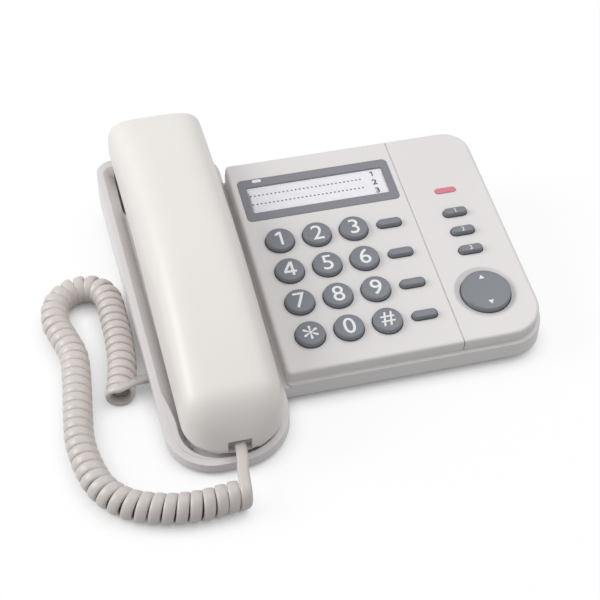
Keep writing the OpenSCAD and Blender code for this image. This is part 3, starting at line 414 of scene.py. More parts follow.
def plan_ring(n, inset, steps=120):
    """The handset's plan, at a height over the cradle's rim and pulled in by an inset."""
    mid, half = (END_LOW + END_HIGH) / 2, (END_HIGH - END_LOW) / 2
    right = []
    for i in range(steps + 1):
        v = mid - half * math.cos(math.pi * i / steps)
        right.append((along(v, HALF_WIDTHS) * end_round(v, NEAR_ROUND, FAR_ROUND), v))
    outline = right + [(-x, v) for x, v in reversed(right)]
    shrink = 1 - inset / half
    return [on_cradle(GRIP_X + along(v, MIDDLES) + x * (1 - inset / HALF_WIDTHS[1]),
                      mid + (v - mid) * shrink, n) for x, v in outline]


def ear_ring(n, inset, steps=8):
    """The plan of the block round the ear cap, rounder at the back, that fits the cradle's ear well."""
    half = EAR_HALF_W - inset
    low, high = EAR_WELL[0] + EAR_NEAR_GAP + inset, EAR_WELL[1] - EAR_FAR_GAP - inset
    ring = []
    for corner, side, end, start in ((EAR_FAR_CORNER, 1, high, 0), (EAR_FAR_CORNER, -1, high, 90),
                                     (EAR_NEAR_CORNER, -1, low, 180), (EAR_NEAR_CORNER, 1, low, 270)):
        x, v = side * (half - corner), end - corner if end == high else end + corner
        for i in range(steps + 1):
            a = math.radians(start + 90 * i / steps)
            ring.append(on_cradle(GRIP_X + x + corner * math.cos(a), v + corner * math.sin(a), n))
    return ring


class TELEPHONE_OT_handset(bpy.types.Operator):
    """Back shell of the handset, the rolled edge under its seam and the block round its ear cap"""

    bl_idname = "telephone.handset"
    bl_label = "Handset"

    def execute(self, context):
        mid, half = (END_LOW + END_HIGH) / 2, (END_HIGH - END_LOW) / 2
        turn = 180 - 2 * FIRST_ANGLE
        stations = [mid - half * math.cos(math.radians(FIRST_ANGLE + turn * i / STATIONS))
                    / math.cos(math.radians(FIRST_ANGLE)) for i in range(STATIONS + 1)]
        shell = mesh_piece("handset_back", *loft([handset_profile(v) for v in stations]), "handset")
        cut_box(shell, *JACK_OPENING)
        fair(shell)
        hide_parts("handset_back_shell")
        rings = [plan_ring(n, inset) for n, inset in EDGE_STEPS]
        edge = mesh_piece("handset_face_edge", *loft(rings), "handset")
        cut_box(edge, *JACK_OPENING)
        fair(edge)
        rings = [ear_ring(n, inset) for n, inset in EAR_STEPS]
        ear = mesh_piece("handset_ear_shell", *loft(rings), "handset")
        for piece in (shell, edge, ear):
            wear(piece, "handset")
        return {"FINISHED"}


# ---- cradle ---------------------------------------------------------------------------

CRADLE_RIGHT_X, REAR_Y = DECK_LEFT_X - 0.6, FRONT_Y + BASE_D
RIM_W = 3.2
REAR_CORNER_R = 21.0
REAR_CORNER = (CRADLE_RIGHT_X - 21, REAR_Y - 21)
# radii of the cradle's corners, and how far its sides lean in towards the front
FRONT_LEFT_R, FRONT_RIGHT_R, REAR_LEFT_R = 21.5, 27.0, 9
LEFT_LEAN, RIGHT_LEAN = 3, 1.5
WELL_CORNER_R = 7
# where the tray's ledge starts to widen on each side, and where it has its full width
LEDGE_LEFT, LEDGE_RIGHT = (FRONT_Y + 54, FRONT_Y + 24), (FRONT_Y + 39, FRONT_Y + 22)
LEDGE_LEFT_POINTS, LEDGE_MIN, LEDGE_MAX = 25, 0.9, 8
WALL_STEPS = 32
# section of the wall at the rear corner: out from the corner's radius, height over the rim, sunk at the ends
WALL_SECTION = ((0.04, -0.8, 1), (-0.4, -0.03, 1), (-3.2, -0.03, 0), (-3.2, -12.9, 0), (-0.5, -15.5, 0),
                (0.04, -13.2, 1))


def rim_path(inset, left_y, right_y):
    """The cradle's rim in plan, from its left side round the front to its right side."""
    path = []
    for i in range(9):
        y = left_y + (FRONT_Y + FRONT_LEFT_R - left_y) * i / 9
        lean = LEFT_LEAN * (REAR_Y - REAR_LEFT_R - y) / (BASE_D - (REAR_LEFT_R + FRONT_LEFT_R))
        path.append((-BASE_W / 2 + lean + inset, y))
    for cx, r, start in ((-BASE_W / 2 + (LEFT_LEAN + FRONT_LEFT_R), FRONT_LEFT_R, 180),
                         (CRADLE_RIGHT_X - (RIGHT_LEAN + FRONT_RIGHT_R), FRONT_RIGHT_R, 270)):
        for i in range(17):
            a = math.radians(start + 90 * i / 16)
            path.append((cx + (r - inset) * math.cos(a), FRONT_Y + r + (r - inset) * math.sin(a)))
    for i in range(1, 6):
        path.append((CRADLE_RIGHT_X - RIGHT_LEAN - inset,
                     FRONT_Y + 27 + (right_y - FRONT_Y - 27) * i / 5))
    return path


def under_handset(x, v, gap):
    """Whether a point lies inside the handset's plan, let out by a gap."""
    mid, half = (HANDSET_NEAR + HANDSET_FAR) / 2, (HANDSET_FAR - HANDSET_NEAR) / 2
    v = mid + (v - mid) / (1 + gap / half)
    if v <= HANDSET_NEAR:
        return False
    width = along(v, HALF_WIDTHS) * end_round(v, NEAR_ROUND, FAR_ROUND)
    return abs(x - GRIP_X) / (1 + gap / HALF_WIDTHS[0]) < width


def smooth_step(t):
    """Goes from 0 to 1 with no corner at either end."""
    t = min(max(t, 0.0), 1.0)
    return t * t * (3 - 2 * t)


def ledge_rings():
    """Sections of the flat ledge between the rim's slope and the handset, round the tray's front."""
    rings = []
    path = rim_path(RIM_W - 0.4, FRONT_Y + 56, FRONT_Y + 40)
    for i, (x, y) in enumerate(path):
        v = y / math.cos(CRADLE_TILT)
        aim = Vector((GRIP_X, max(v, HANDSET_NEAR + 26))) - Vector((x, v))
        aim.normalize()
        reach = 0.0
        while reach < LEDGE_MAX and not under_handset(x + aim.x * reach, v + aim.y * reach, 1.0):
            reach += 0.1
        start, full = LEDGE_LEFT if i < LEDGE_LEFT_POINTS else LEDGE_RIGHT
        reach = max(reach * smooth_step((start - y) / (start - full)), LEDGE_MIN)
        near = (x + aim.x * (reach - 0.4), v + aim.y * (reach - 0.4))
        far = (x + aim.x * reach, v + aim.y * reach)
        rings.append([on_cradle(x, v, -0.04), on_cradle(*near, -0.04), on_cradle(*far, -0.4),
                      on_cradle(*far, -1.3), on_cradle(x, v, -1.3)])
    return rings


def corner_wall_rings():
    """Sections of the wall at the cradle's rear right corner. Its ends and foot sink into the case."""
    cx, cy = REAR_CORNER
    rings = []
    for i in range(WALL_STEPS + 1):
        a = math.radians(-4 + 98 * i / WALL_STEPS)
        sink = 0.35 * (1 - smooth_step(min(i, WALL_STEPS - i) / 3))
        ring = []
        for out, n, sinks in WALL_SECTION:
            radius = out - sink if sinks else out
            x, y = cx + (REAR_CORNER_R + radius) * math.cos(a), cy + (REAR_CORNER_R + radius) * math.sin(a)
            ring.append(on_cradle(x, (y + n * math.sin(CRADLE_TILT)) / math.cos(CRADLE_TILT), n))
        rings.append(ring)
    return rings


def well_corner_rings():
    """Sections of the thin wall at the ear well's front right corner."""
    x1, v0, r = GRIP_X + 24.5, EAR_WELL[0], WELL_CORNER_R
    bend = [(x1 - r + r * math.cos(math.radians(a)), v0 + r + r * math.sin(math.radians(a)))
            for a in range(-90, 1, 9)]
    centre = Vector((GRIP_X, (EAR_WELL[0] + EAR_WELL[1]) / 2))
    rings = []
    for x, v in [(x1 - 16, v0)] + bend + [(x1, v0 + 22)]:
        inner = Vector((x, v)) + (centre - Vector((x, v))).normalized() * 0.3
        rings.append([on_cradle(x, v, -3.8), on_cradle(*inner, -3.9), on_cradle(*inner, -12.35),
                      on_cradle(x, v, -12.35)])
    return rings


class TELEPHONE_OT_cradle_edges(bpy.types.Operator):
    """Ledge round the front of the handset's tray, and the walls at the ear well's two right corners"""

    bl_idname = "telephone.cradle_edges"
    bl_label = "Cradle edges"

    def execute(self, context):
        for name, rings in (("tray_ledge", ledge_rings()), ("cradle_corner_wall", corner_wall_rings()),
                            ("ear_well_corner", well_corner_rings())):
            piece = mesh_piece(name, *loft(rings), "base")
            wear(piece, "shell")
        return {"FINISHED"}


# ---- legends --------------------------------------------------------------------------


def key_top(distance):
    """Height of a dial key's top over the deck at a distance from its middle."""
    steps = ((0.0, 0.0), (KEY_D / 4, 0.045), (KEY_D / 2 - 0.9, 0.15))
    for (near, drop), (far, next_drop) in zip(steps, steps[1:]):
        if distance <= far:
            return KEY_RISE - drop - (next_drop - drop) * (distance - near) / (far - near)
    return KEY_RISE - 0.15


# the two figures that the built-in face draws badly, as strokes in shares of their height
STROKES = {
    "1": (((-0.24, 0.26), (0.02, 0.44)), ((0.06, 0.5), (0.06, -0.5))),
    "4": (((0.1, 0.46), (-0.33, -0.2)), ((-0.38, -0.22), (0.36, -0.22)), ((0.14, 0.5), (0.14, -0.5))),
}


FIGURE_HEIGHT, STROKE_SHARE = 0.66, 0.074


def stroked(name, text, height, place, body, share):
    """A printed figure made of straight strokes, share of its height half across, laid by place(x, y)."""
    points, faces = [], []
    for start, end in STROKES[text]:
        a, b = Vector(start) * height, Vector(end) * height
        across = (b - a).orthogonal().normalized() * height * share
        steps = max(2, round((b - a).length / 0.7))
        for i in range(steps + 1):
            middle = a.lerp(b, i / steps)
            for side in (middle - across, middle, middle + across):
                points.append(place(side.x, side.y))
            if i:
                k = len(points) - 6
                faces += [(k, k + 1, k + 4, k + 3), (k + 1, k + 2, k + 5, k + 4)]
    return mesh_piece(name, points, faces, body)


def printed(name, text, size, place, body, bold=0.0):
    """Flat printed characters, laid on a surface by place(x, y) around their own middle."""
    if text in STROKES:
        return stroked(name, text, size * FIGURE_HEIGHT, place, body, STROKE_SHARE + bold / size)
    font = bpy.data.curves.new(name, "FONT")
    font.body = text
    font.size = size
    font.align_x = "CENTER"
    font.align_y = "CENTER"
    font.offset = bold
    font.resolution_u = 6
    words = bpy.data.objects.new(name, font)
    bpy.context.scene.collection.objects.link(words)
    bpy.context.view_layer.update()
    flat = bpy.data.meshes.new_from_object(words.evaluated_get(bpy.context.evaluated_depsgraph_get()))
    bpy.data.objects.remove(words)
    # short edges, so that the print follows the key's crown
    shape = bmesh.new()
    shape.from_mesh(flat)
    for _ in range(4):
        bmesh.ops.triangulate(shape, faces=shape.faces)
        long_edges = [e for e in shape.edges if e.calc_length() > 1.0]
        if not long_edges:
            break
        bmesh.ops.subdivide_edges(shape, edges=long_edges, cuts=1)
    shape.to_mesh(flat)
    shape.free()
    xs = [v.co.x for v in flat.vertices]
    ys = [v.co.y for v in flat.vertices]
    mid_x, mid_y = (min(xs) + max(xs)) / 2, (min(ys) + max(ys)) / 2
    for v in flat.vertices:
        v.co = place(v.co.x - mid_x, v.co.y - mid_y)
    obj = bpy.data.objects.new(name, flat)
    bpy.context.scene.collection.objects.link(obj)
    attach(obj, body)
    return obj


DIAL = (("1", "2", "3"), ("4", "5", "6"), ("7", "8", "9"), ("*", "0", "#"))
DIAL_NODES = {"*": "star", "#": "hash"}


class TELEPHONE_OT_legends(bpy.types.Operator):
    """Numbers printed on the dial keys and the memory keys, and the marks on the volume key"""

    bl_idname = "telephone.legends"
    bl_label = "Legends"

    def execute(self, context):
        size = context.scene.telephone_legends.digit_size / MM
        for row, names in enumerate(DIAL):
            for column, sign in enumerate(names):
                x = KEY_1[0] + column * KEY_PITCH[0]
                v = KEY_1[1] - row * KEY_PITCH[1]
                tag = DIAL_NODES.get(sign, sign)
                obj = printed(
                    f"digit_{tag}", sign, size * {"*": 1.36, "#": 0.9}.get(sign, 1.0),
                    lambda a, b, x=x, v=v: on_deck(x + a, v + b, key_top(math.hypot(a, b)) + 0.06),
                    f"dial_key_{tag}_body", 0.005 * size)
                wear(obj, "ink_white")
        for row in range(3):
            v = KEY_1[1] - row * MEMORY_PITCH
            obj = printed(f"memory_digit_{row + 1}", str(row + 1), 3.6,
                          lambda a, b, v=v: on_deck(MEMORY_X + a, v + b, BAR_KEY_RISE + 0.05),
                          f"memory_key_{row + 1}_body", 0.02)
            wear(obj, "ink_white")
        for side in (1, -1):
            x, v, n = VOLUME[0], VOLUME[1] + side * 7.6, VOLUME_RISE + 0.01
            corners = [on_deck(x - 1.4, v - side * 1.0, n), on_deck(x + 1.4, v - side * 1.0, n),
                       on_deck(x, v + side * 1.4, n - 0.03)]
            obj = mesh_piece(f"volume_mark_{'up' if side > 0 else 'down'}", corners, [(0, 1, 2)], "volume")
            wear(obj, "ink_white")
        return {"FINISHED"}


KEY_GAP = 0.45
# the volume key tilts, so its ring of painted shade lies lower and keeps clear of the key
VOLUME_RING_N, VOLUME_RING_ROOM = -0.95, 0.32


def gap_shade_ring(x, v, length, width, points, faces, n=0.03, room=0.03, steps=24):
    """A thin dark ring of painted shade in the opening round a key: a circle, or a bar with round ends."""
    first = len(points)
    for i in range(2 * steps):
        a = math.pi * (i + 0.5) / steps - math.pi / 2
        side = (length - width) / 2 * (1 if i < steps else -1)
        for radius in (width / 2 + room, width / 2 + KEY_GAP):
            points.append(on_deck(x + side + radius * math.cos(a), v + radius * math.sin(a), n))
    count = 4 * steps
    for i in range(0, count, 2):
        faces.append((first + i, first + i + 1, first + (i + 3) % count, first + (i + 2) % count))


class TELEPHONE_OT_key_gap_shade(bpy.types.Operator):
    """Painted shade: dark rings in the silicone mat's colour, laid in the openings round the keys"""

    bl_idname = "telephone.key_gaps"
    bl_label = "Key gaps"

    def execute(self, context):
        points, faces = [], []
        for row in range(4):
            v = KEY_1[1] - row * KEY_PITCH[1]
            for column in range(3):
                gap_shade_ring(KEY_1[0] + column * KEY_PITCH[0], v, KEY_D, KEY_D, points, faces)
            gap_shade_ring(FUNCTION_X, v, FUNCTION_KEY_L, BAR_KEY_W, points, faces)
        for row in range(3):
            gap_shade_ring(MEMORY_X, KEY_1[1] - row * MEMORY_PITCH, MEMORY_KEY_L, BAR_KEY_W, points, faces)
        gap_shade_ring(*VOLUME, VOLUME_D, VOLUME_D, points, faces, VOLUME_RING_N, VOLUME_RING_ROOM)
        # painted shade: the rings lie at the deck's face in the mat's dark silicone, where the openings are
        # in shadow
        ring = mesh_piece("keypad_gap_shade", points, faces, "base")
        wear(ring, "silicone")
        return {"FINISHED"}


class TELEPHONE_OT_panel_ledge(bpy.types.Operator):
    """Lapped ledge that closes the joint between the upper case and the side panel"""

    bl_idname = "telephone.panel_ledge"
    bl_label = "Panel ledge"

    def execute(self, context):
        rings = []
        for v in (DECK_FRONT_V + 0.6, DECK_FRONT_V + 3, DECK_FRONT_V + DECK_L - 2.5):
            top = -0.22 if v > DECK_FRONT_V + 2 else -1.6
            section = ((-0.7, -2.2), (0.7, -2.2), (0.7, top), (0.25, top - 0.1), (-0.25, top - 0.1),
                       (-0.7, top))
            rings.append([on_deck(PANEL_SEAM_X + dx, v, n) for dx, n in section])
        ledge = mesh_piece("panel_ledge", *loft(rings), "base")
        wear(ledge, "shell")
        return {"FINISHED"}


# the card lies in its window, and the print a hair over it
CARD_N = -0.9 + 0.3 + 0.03
RULE_ENDS, RULE_HEIGHTS, RULE_PITCH = (INDEX[0] - 34.0, INDEX[0] + 25.5), (3.1, -2.6), 2.1
DASH = ((-0.45, -0.36), (0.45, -0.36), (0.45, 0.36), (-0.45, 0.36))
LINE_PITCH, LINE_X = 5.7, INDEX[0] + 29.5
TAB_X, TAB_V, TAB_HALF_L, TAB_HALF_W, TAB_POINTS = INDEX[0] - 29.0, INDEX[1] + 12.2, 2.3, 1.0, 20


def rooted(value):
    """The root of a sine or cosine with its sign kept, which squares up an oval."""
    return math.copysign(abs(value) ** 0.5, value)


class TELEPHONE_OT_index(bpy.types.Operator):
    """Dashed rules and line numbers on the index card, and the light tab on its frame"""

    bl_idname = "telephone.index"
    bl_label = "Index card"

    def execute(self, context):
        for row, dv in enumerate(RULE_HEIGHTS):
            points, faces = [], []
            for i in range(int((RULE_ENDS[1] - RULE_ENDS[0]) / RULE_PITCH)):
                x, v = RULE_ENDS[0] + i * RULE_PITCH, INDEX[1] + dv
                first = len(points)
                points += [on_deck(x + a, v + b, CARD_N) for a, b in DASH]
                faces.append((first, first + 1, first + 2, first + 3))
            rule = mesh_piece(f"index_rule_{row + 1}", points, faces, "base")
            wear(rule, "ink_grey")
        turns = [2 * math.pi * (i + 0.5) / TAB_POINTS for i in range(TAB_POINTS)]
        tab = [on_deck(TAB_X + TAB_HALF_L * rooted(math.cos(a)),
                       TAB_V + TAB_HALF_W * rooted(math.sin(a)), 0.2) for a in turns]
        mark = mesh_piece("index_mark", tab, [tuple(range(TAB_POINTS))], "base")
        wear(mark, "ink_white")
        for row in range(3):
            v = INDEX[1] + LINE_PITCH - row * LINE_PITCH
            obj = printed(f"index_number_{row + 1}", str(row + 1), 4.8,
                          lambda a, b, v=v: on_deck(LINE_X + a, v + b, CARD_N), "base", 0.16)
            wear(obj, "ink_grey")
        return {"FINISHED"}


# ---- cord -----------------------------------------------------------------------------

COIL_R = 6.8
COIL_Z = COIL_R + 0.15
FLAT_W, FLAT_T = 5.2, 2.6
JACK_Y, JACK_Z = 61, 3.4 + 0.5 + 2.1
# the routes' Y is counted from the base's front
COIL_ROUTE = [(-107, 51.6), (-103, 70.5), (-101.6, 88.5), (-101.6, 106.5), (-102.2, 119.5), (-106, 126.5),
              (-113, 129), (-121, 127), (-127.5, 119.5), (-129, 107.5), (-126.5, 96), (-123.8, 82.5),
              (-125, 64.5), (-127, 46.5), (-128.5, 29.5), (-127, 13.5), (-123, -0.5), (-114, -11.5),
              (-100, -18), (-85, -20.3), (-72, -19.3), (-64.5, -18.6)]
BASE_LEAD = [(-90.9, JACK_Y, JACK_Z), (-92.5, JACK_Y, JACK_Z), (-95, 60.7, JACK_Z + 0.2),
             (-98.5, 58.6, 7.9), (-102, 55, 10.8)]
HANDSET_LEAD = [(-63.6, -10, 12.6), (-62.4, -4, 12.8), (GRIP_X, 1.5, 13.0), (GRIP_X, 4.75, 13.1)]


def smooth_route(points, per):
    """Points on a smooth curve through the chosen ones."""
    route = []
    last = len(points) - 1
    for i in range(last):
        a, b, c, d = (points[max(i - 1, 0)], points[i], points[i + 1], points[min(i + 2, last)])
        for k in range(per):
            t = k / per
            route.append(0.5 * (2 * b + (c - a) * t + (2 * a - 5 * b + 4 * c - d) * t * t
                                + (3 * b - a - 3 * c + d) * t ** 3))
    return route + [points[-1]]


def evenly(points, step):
    """The same line with its points a fixed step apart."""
    kept, left = [points[0].copy()], step
    for a, b in zip(points, points[1:]):
        length = (b - a).length
        done = 0.0
        while length - done >= left:
            done += left
            kept.append(a.lerp(b, done / length))
            left = step
        left -= length - done
    return kept


def cord_line(pitch, turn_points=18):
    """The whole cord's centreline in millimetres, with the way its width lies at each point."""
    rough = smooth_route([Vector((x, y, COIL_Z)) for x, y in COIL_ROUTE], 24)
    length = sum((b - a).length for a, b in zip(rough, rough[1:]))
    turns = round(length / pitch)
    axis = evenly(rough, length / (turns * turn_points) * 0.999999)[:turns * turn_points + 1]
    line, widths = [], []
    radius = COIL_R - FLAT_T / 2
    # the coil turns round its own level line, and starts and ends on top
    for i, middle in enumerate(axis):
        ahead = (axis[min(i + 1, len(axis) - 1)] - axis[max(i - 1, 0)]).normalized()
        side = Vector((0, 0, 1)).cross(ahead).normalized()
        turn = math.pi / 2 - 2 * math.pi * i / turn_points
        line.append(middle + (side * math.cos(turn) + Vector((0, 0, 1)) * math.sin(turn)) * radius)
        widths.append(ahead)
    lead_in = smooth_route([Vector(p) for p in BASE_LEAD] + [line[0]], 8)[:-1]
    lead_out = smooth_route([line[-1]] + [Vector(p) for p in HANDSET_LEAD], 8)[1:]

    def flat_way(points, i):
        ahead = points[min(i + 1, len(points) - 1)] - points[max(i - 1, 0)]
        return Vector((0, 0, 1)).cross(ahead).normalized()

    ways_in = [flat_way(lead_in, i) for i in range(len(lead_in))]
    ways_out = [flat_way(lead_out, i) for i in range(len(lead_out))]
    front = Vector((0, FRONT_Y, 0))
    return [p + front for p in lead_in + line + lead_out], ways_in + widths + ways_out


def cord_skin(line, ways, width, thick, sides=12):
    """A flat cord's skin: an oval section that turns gently from one way to the next."""
    rings = []
    way = ways[0]
    for i, point in enumerate(line):
        ahead = (line[min(i + 1, len(line) - 1)] - line[max(i - 1, 0)]).normalized()
        target = ways[i] if ways[i].dot(way) >= 0 else -ways[i]
        way = way.lerp(target, 0.35)
        way = (way - ahead * way.dot(ahead)).normalized()
        up = ahead.cross(way)
        ring = []
        for j in range(sides):
            a = 2 * math.pi * j / sides
            c, s = math.cos(a), math.sin(a)
            ring.append((point + way * width / 2 * math.copysign(abs(c) ** 0.75, c)
                         + up * thick / 2 * math.copysign(abs(s) ** 0.75, s)) * MM)
        rings.append(ring)
    return loft(rings)


class TELEPHONE_OT_cord(bpy.types.Operator):
    """Coiled handset cord, from the base's socket to the handset's"""

    bl_idname = "telephone.cord"
    bl_label = "Coiled cord"

    def execute(self, context):
        cord = context.scene.telephone_cord
        line, ways = cord_line(cord.coil_pitch / MM)
        points, faces = cord_skin(line, ways, FLAT_W, FLAT_T)
        obj = mesh_piece("handset_cord", points, faces, None, 60.0)
        wear(obj, "jacket")
        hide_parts("cord_base_lead", "cord_coil", "cord_handset_lead")
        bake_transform(obj)
        return {"FINISHED"}


# ---- finishes of the solid model's own nodes ----------------------------------------------

NODE_FINISHES = {
    "shell": ("lower_case", "upper_case", "side_panel", "hook_plunger", "handset_hanger"),
    "handset": ("handset_face_shell",),
    "keys": ("volume_key", "ringer_switch", "mode_switch") + tuple(
        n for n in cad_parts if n.startswith(("dial_key_", "function_key_", "memory_key_"))),
    "frame": ("index_frame",),
    "card": ("index_card",),
    "cover": ("index_cover",),
    "lens": ("ringer_lamp",),
    "silicone": ("keypad_mat",),
    "board": ("circuit_board",),
    "steel": ("board_screws", "case_screws", "handset_screws", "ballast_plate", "handset_weight"),
    "dark": ("hook_switch", "cord_jack", "line_jack", "slide_switches", "ringer_buzzer", "handset_jack",
             "receiver_capsule", "microphone"),
    "rubber": ("feet",),
    "plug": ("base_plug", "handset_plug"),
}


class TELEPHONE_OT_finishes(bpy.types.Operator):
    """Finishes on the nodes that come from the solid model"""

    bl_idname = "telephone.finishes"
    bl_label = "Finishes"

    def execute(self, context):
        for key, names in NODE_FINISHES.items():
            for name in names:
                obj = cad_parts[name]
                wear(obj, key)
                obj.data.shade_smooth()
                obj.data.set_sharp_from_angle(angle=math.radians(30))
        return {"FINISHED"}


# ---- stage ----------------------------------------------------------------------------


CAMERA_LENS, CAMERA_SENSOR = 85.86, 36
CAMERA_PLACE = (-142.1, -513.7, 474.6)
CAMERA_RIGHT, CAMERA_AHEAD = (0.9679, -0.2512, 0.0), (0.1869, 0.7199, -0.6684)
FLOOR_HALF = 12
WHITE = "#FFFFFF"


def place_camera(scene):
    data = bpy.data.cameras.new("camera")
    data.lens = CAMERA_LENS
    data.sensor_width = CAMERA_SENSOR
    data.clip_start = 0.01
    camera = bpy.data.objects.new("camera", data)
    ahead = Vector(CAMERA_AHEAD).normalized()
    above = Vector(CAMERA_RIGHT).cross(ahead).normalized()
    right = ahead.cross(above).normalized()
    turn = Matrix((right, above, -ahead)).transposed().to_4x4()
    camera.matrix_world = Matrix.Translation(Vector(CAMERA_PLACE) * MM) @ turn
    scene.collection.objects.link(camera)
    scene.camera = camera


def either(tree, one, other):
    """The greater of two values, so that a ray of either kind counts."""
    return add(tree, "ShaderNodeMath", {0: one, 1: other}, operation="MAXIMUM").outputs[0]


def mix(tree, share, one, other):
    return add(tree, "ShaderNodeMixShader", {0: share, 1: one.outputs[0], 2: other.outputs[0]})


def studio_paper(stage):
    """Matt paper sweep: seen as white, with only a faint shadow, and a mid grey to the light."""
    material, tree, where = new_material("studio_paper_white")
    rays = add(tree, "ShaderNodeLightPath").outputs
    seen = either(tree, either(tree, rays["Is Camera Ray"], rays["Is Glossy Ray"]),
                  rays["Is Transmission Ray"])
    tooth = add(tree, "ShaderNodeTexNoise", {"Vector": where, "Scale": 1 / (2 * MM), "Detail": 3.0})
    bump = add(tree, "ShaderNodeBump", {"Height": tooth.outputs["Fac"], "Strength": 0.05,
                                        "Distance": 0.1 * MM}).outputs[0]
    grey = add(tree, "ShaderNodeBsdfDiffuse", {"Color": linear(stage.floor_colour), "Normal": bump})
    white = add(tree, "ShaderNodeBsdfDiffuse", {"Color": linear(WHITE), "Normal": bump})
    glow = add(tree, "ShaderNodeEmission", {"Color": linear(WHITE), "Strength": 1.0})
    # painted shade, partly real: ambient occlusion dims the glow where the telephone is near, so the paper's
    # real shadow shows there as a darker line where the case meets it
    near = add(tree, "ShaderNodeAmbientOcclusion", {"Distance": 9 * MM}, samples=8)
    share = add(tree, "ShaderNodeMath", {0: near.outputs["AO"], 1: stage.floor_glow}, operation="MULTIPLY")
    close(tree, mix(tree, seen, grey, mix(tree, share.outputs[0], white, glow)))
    return material


def studio_room(stage):
    """Even light of the room, seen as plain white by the camera and through clear pieces."""
    world = bpy.data.worlds.new("studio")
    world.use_nodes = True
    tree = world.node_tree
    tree.nodes.clear()
    room = add(tree, "ShaderNodeBackground", {"Color": linear(WHITE), "Strength": stage.room_light})
    seen = add(tree, "ShaderNodeBackground", {"Color": linear(WHITE), "Strength": 1.0})
    rays = add(tree, "ShaderNodeLightPath").outputs
    share = either(tree, rays["Is Camera Ray"], rays["Is Transmission Ray"])
    add(tree, "ShaderNodeOutputWorld", {"Surface": mix(tree, share, room, seen).outputs[0]})
    return world


class TELEPHONE_OT_stage(bpy.types.Operator):
    """Camera, floor and soft studio light"""

    bl_idname = "telephone.stage"
    bl_label = "Stage"

    def execute(self, context):
        scene = context.scene
        stage = scene.telephone_stage
        place_camera(scene)
        mesh = bpy.data.meshes.new("floor")
        corners = [(x * FLOOR_HALF, y * FLOOR_HALF, 0) for x, y in ((-1, -1), (1, -1), (1, 1), (-1, 1))]
        mesh.from_pydata(corners, [], [(0, 1, 2, 3)])
        floor = bpy.data.objects.new("floor", mesh)
        scene.collection.objects.link(floor)
        mesh.materials.append(studio_paper(stage))
        scene.world = studio_room(stage)
        # area lights, each aimed at the origin
        for name, power, size, place in (("key_light", stage.key_light, 0.9, (-1.3, 0.3, 0.85)),
                                         ("fill_light", stage.fill_light, 1.0, (0.6, 0.2, 1.3))):
            lamp = bpy.data.lights.new(name, "AREA")
            lamp.energy = power
            lamp.size = size
            obj = bpy.data.objects.new(name, lamp)
            obj.location = place
            obj.rotation_euler = (-Vector(place)).to_track_quat("-Z", "Y").to_euler()
            scene.collection.objects.link(obj)
        scene.view_settings.view_transform = "Standard"
        return {"FINISHED"}


# ---- settings and panel ---------------------------------------------------------------


class TelephoneCase(bpy.types.PropertyGroup):
    shell_colour: StringProperty(name="Shell", description="Colour of the ivory cases", default="#E3DFDF")
    handset_colour: StringProperty(name="Handset", description="Colour of the handset", default="#E9E5E1")


class TelephoneLegends(bpy.types.PropertyGroup):
    key_colour: StringProperty(name="Keys", description="Colour of all the keys", default="#7B7F86")
    frame_colour: StringProperty(name="Index frame", description="Colour of the index frame",
                                 default="#85838C")
    lamp_colour: StringProperty(name="Lamp", description="Colour of the ringer lamp", default="#FA92A4")
    card_colour: StringProperty(name="Card", description="Colour of the index card", default="#F7F6FB")
    digit_size: FloatProperty(name="Digits", description="Height of the characters on the dial keys",
                              default=0.0126, min=0.008, max=0.013, unit="LENGTH")


class TelephoneCord(bpy.types.PropertyGroup):
    jacket_colour: StringProperty(name="Jacket", description="Colour of the coiled cord", default="#CFC8C4")
    coil_pitch: FloatProperty(name="Coil pitch", description="Distance from one turn to the next",
                              default=0.0054, min=0.0053, max=0.008, unit="LENGTH")


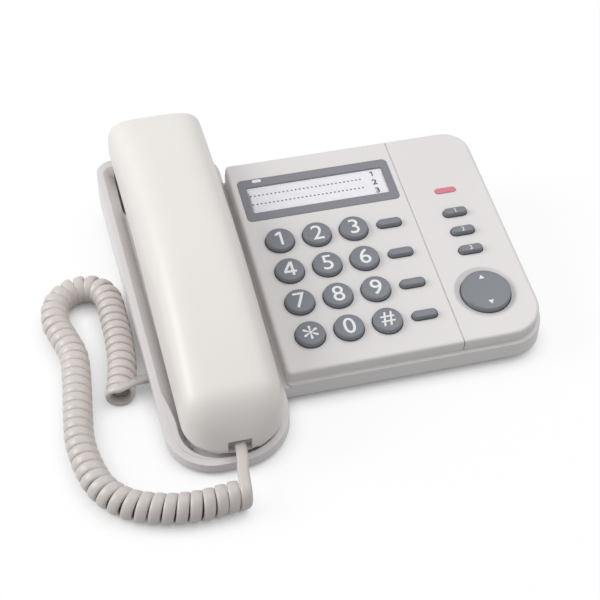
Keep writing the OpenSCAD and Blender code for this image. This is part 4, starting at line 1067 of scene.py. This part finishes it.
class TelephoneStage(bpy.types.PropertyGroup):
    floor_colour: StringProperty(name="Floor", description="Colour of the paper sweep", default="#A0A0A0")
    floor_glow: FloatProperty(name="Floor glow", description="How white the floor is seen", default=0.85,
                              min=0.0, max=1.0)
    room_light: FloatProperty(name="Room light", description="Strength of the even light", default=0.58,
                              min=0.0, max=2.0)
    key_light: FloatProperty(name="Key light", description="Power of the main lamp", default=12.5, min=0.0,
                             max=100.0, unit="POWER")
    fill_light: FloatProperty(name="Fill light", description="Power of the second lamp", default=5.0,
                              min=0.0, max=100.0, unit="POWER")


class TELEPHONE_PT_panel(bpy.types.Panel):
    """Settings and steps of the telephone"""

    bl_label = "Telephone"
    bl_idname = "TELEPHONE_PT_panel"
    bl_space_type = "VIEW_3D"
    bl_region_type = "UI"
    bl_category = "Telephone"

    def draw(self, context):
        scene = context.scene
        for group in (scene.telephone_case, scene.telephone_legends, scene.telephone_cord,
                      scene.telephone_stage):
            for prop in group.bl_rna.properties.keys():
                if prop not in ("rna_type", "name"):
                    self.layout.prop(group, prop)
        for step in STEPS:
            self.layout.operator(step.bl_idname)


STEPS = (TELEPHONE_OT_stage, TELEPHONE_OT_cord, TELEPHONE_OT_finishes, TELEPHONE_OT_handset,
         TELEPHONE_OT_cradle_edges, TELEPHONE_OT_key_gap_shade, TELEPHONE_OT_panel_ledge,
         TELEPHONE_OT_legends, TELEPHONE_OT_index)
GROUPS = {"telephone_case": TelephoneCase, "telephone_legends": TelephoneLegends,
          "telephone_cord": TelephoneCord, "telephone_stage": TelephoneStage}


def register():
    for group in GROUPS.values():
        bpy.utils.register_class(group)
    for step in STEPS + (TELEPHONE_PT_panel,):
        bpy.utils.register_class(step)
    for name, group in GROUPS.items():
        setattr(bpy.types.Scene, name, PointerProperty(type=group))


def unregister():
    for name in GROUPS:
        delattr(bpy.types.Scene, name)
    for kind in (TELEPHONE_PT_panel,) + STEPS[::-1] + tuple(GROUPS.values()):
        bpy.utils.unregister_class(kind)


def main():
    register()
    finish_all(bpy.context)
    bpy.ops.telephone.stage()
    bpy.ops.telephone.cord()
    bpy.ops.telephone.finishes()
    bpy.ops.telephone.handset()
    bpy.ops.telephone.cradle_edges()
    bpy.ops.telephone.key_gaps()
    bpy.ops.telephone.panel_ledge()
    bpy.ops.telephone.legends()
    bpy.ops.telephone.index()


if __name__ == "__main__":
    main()
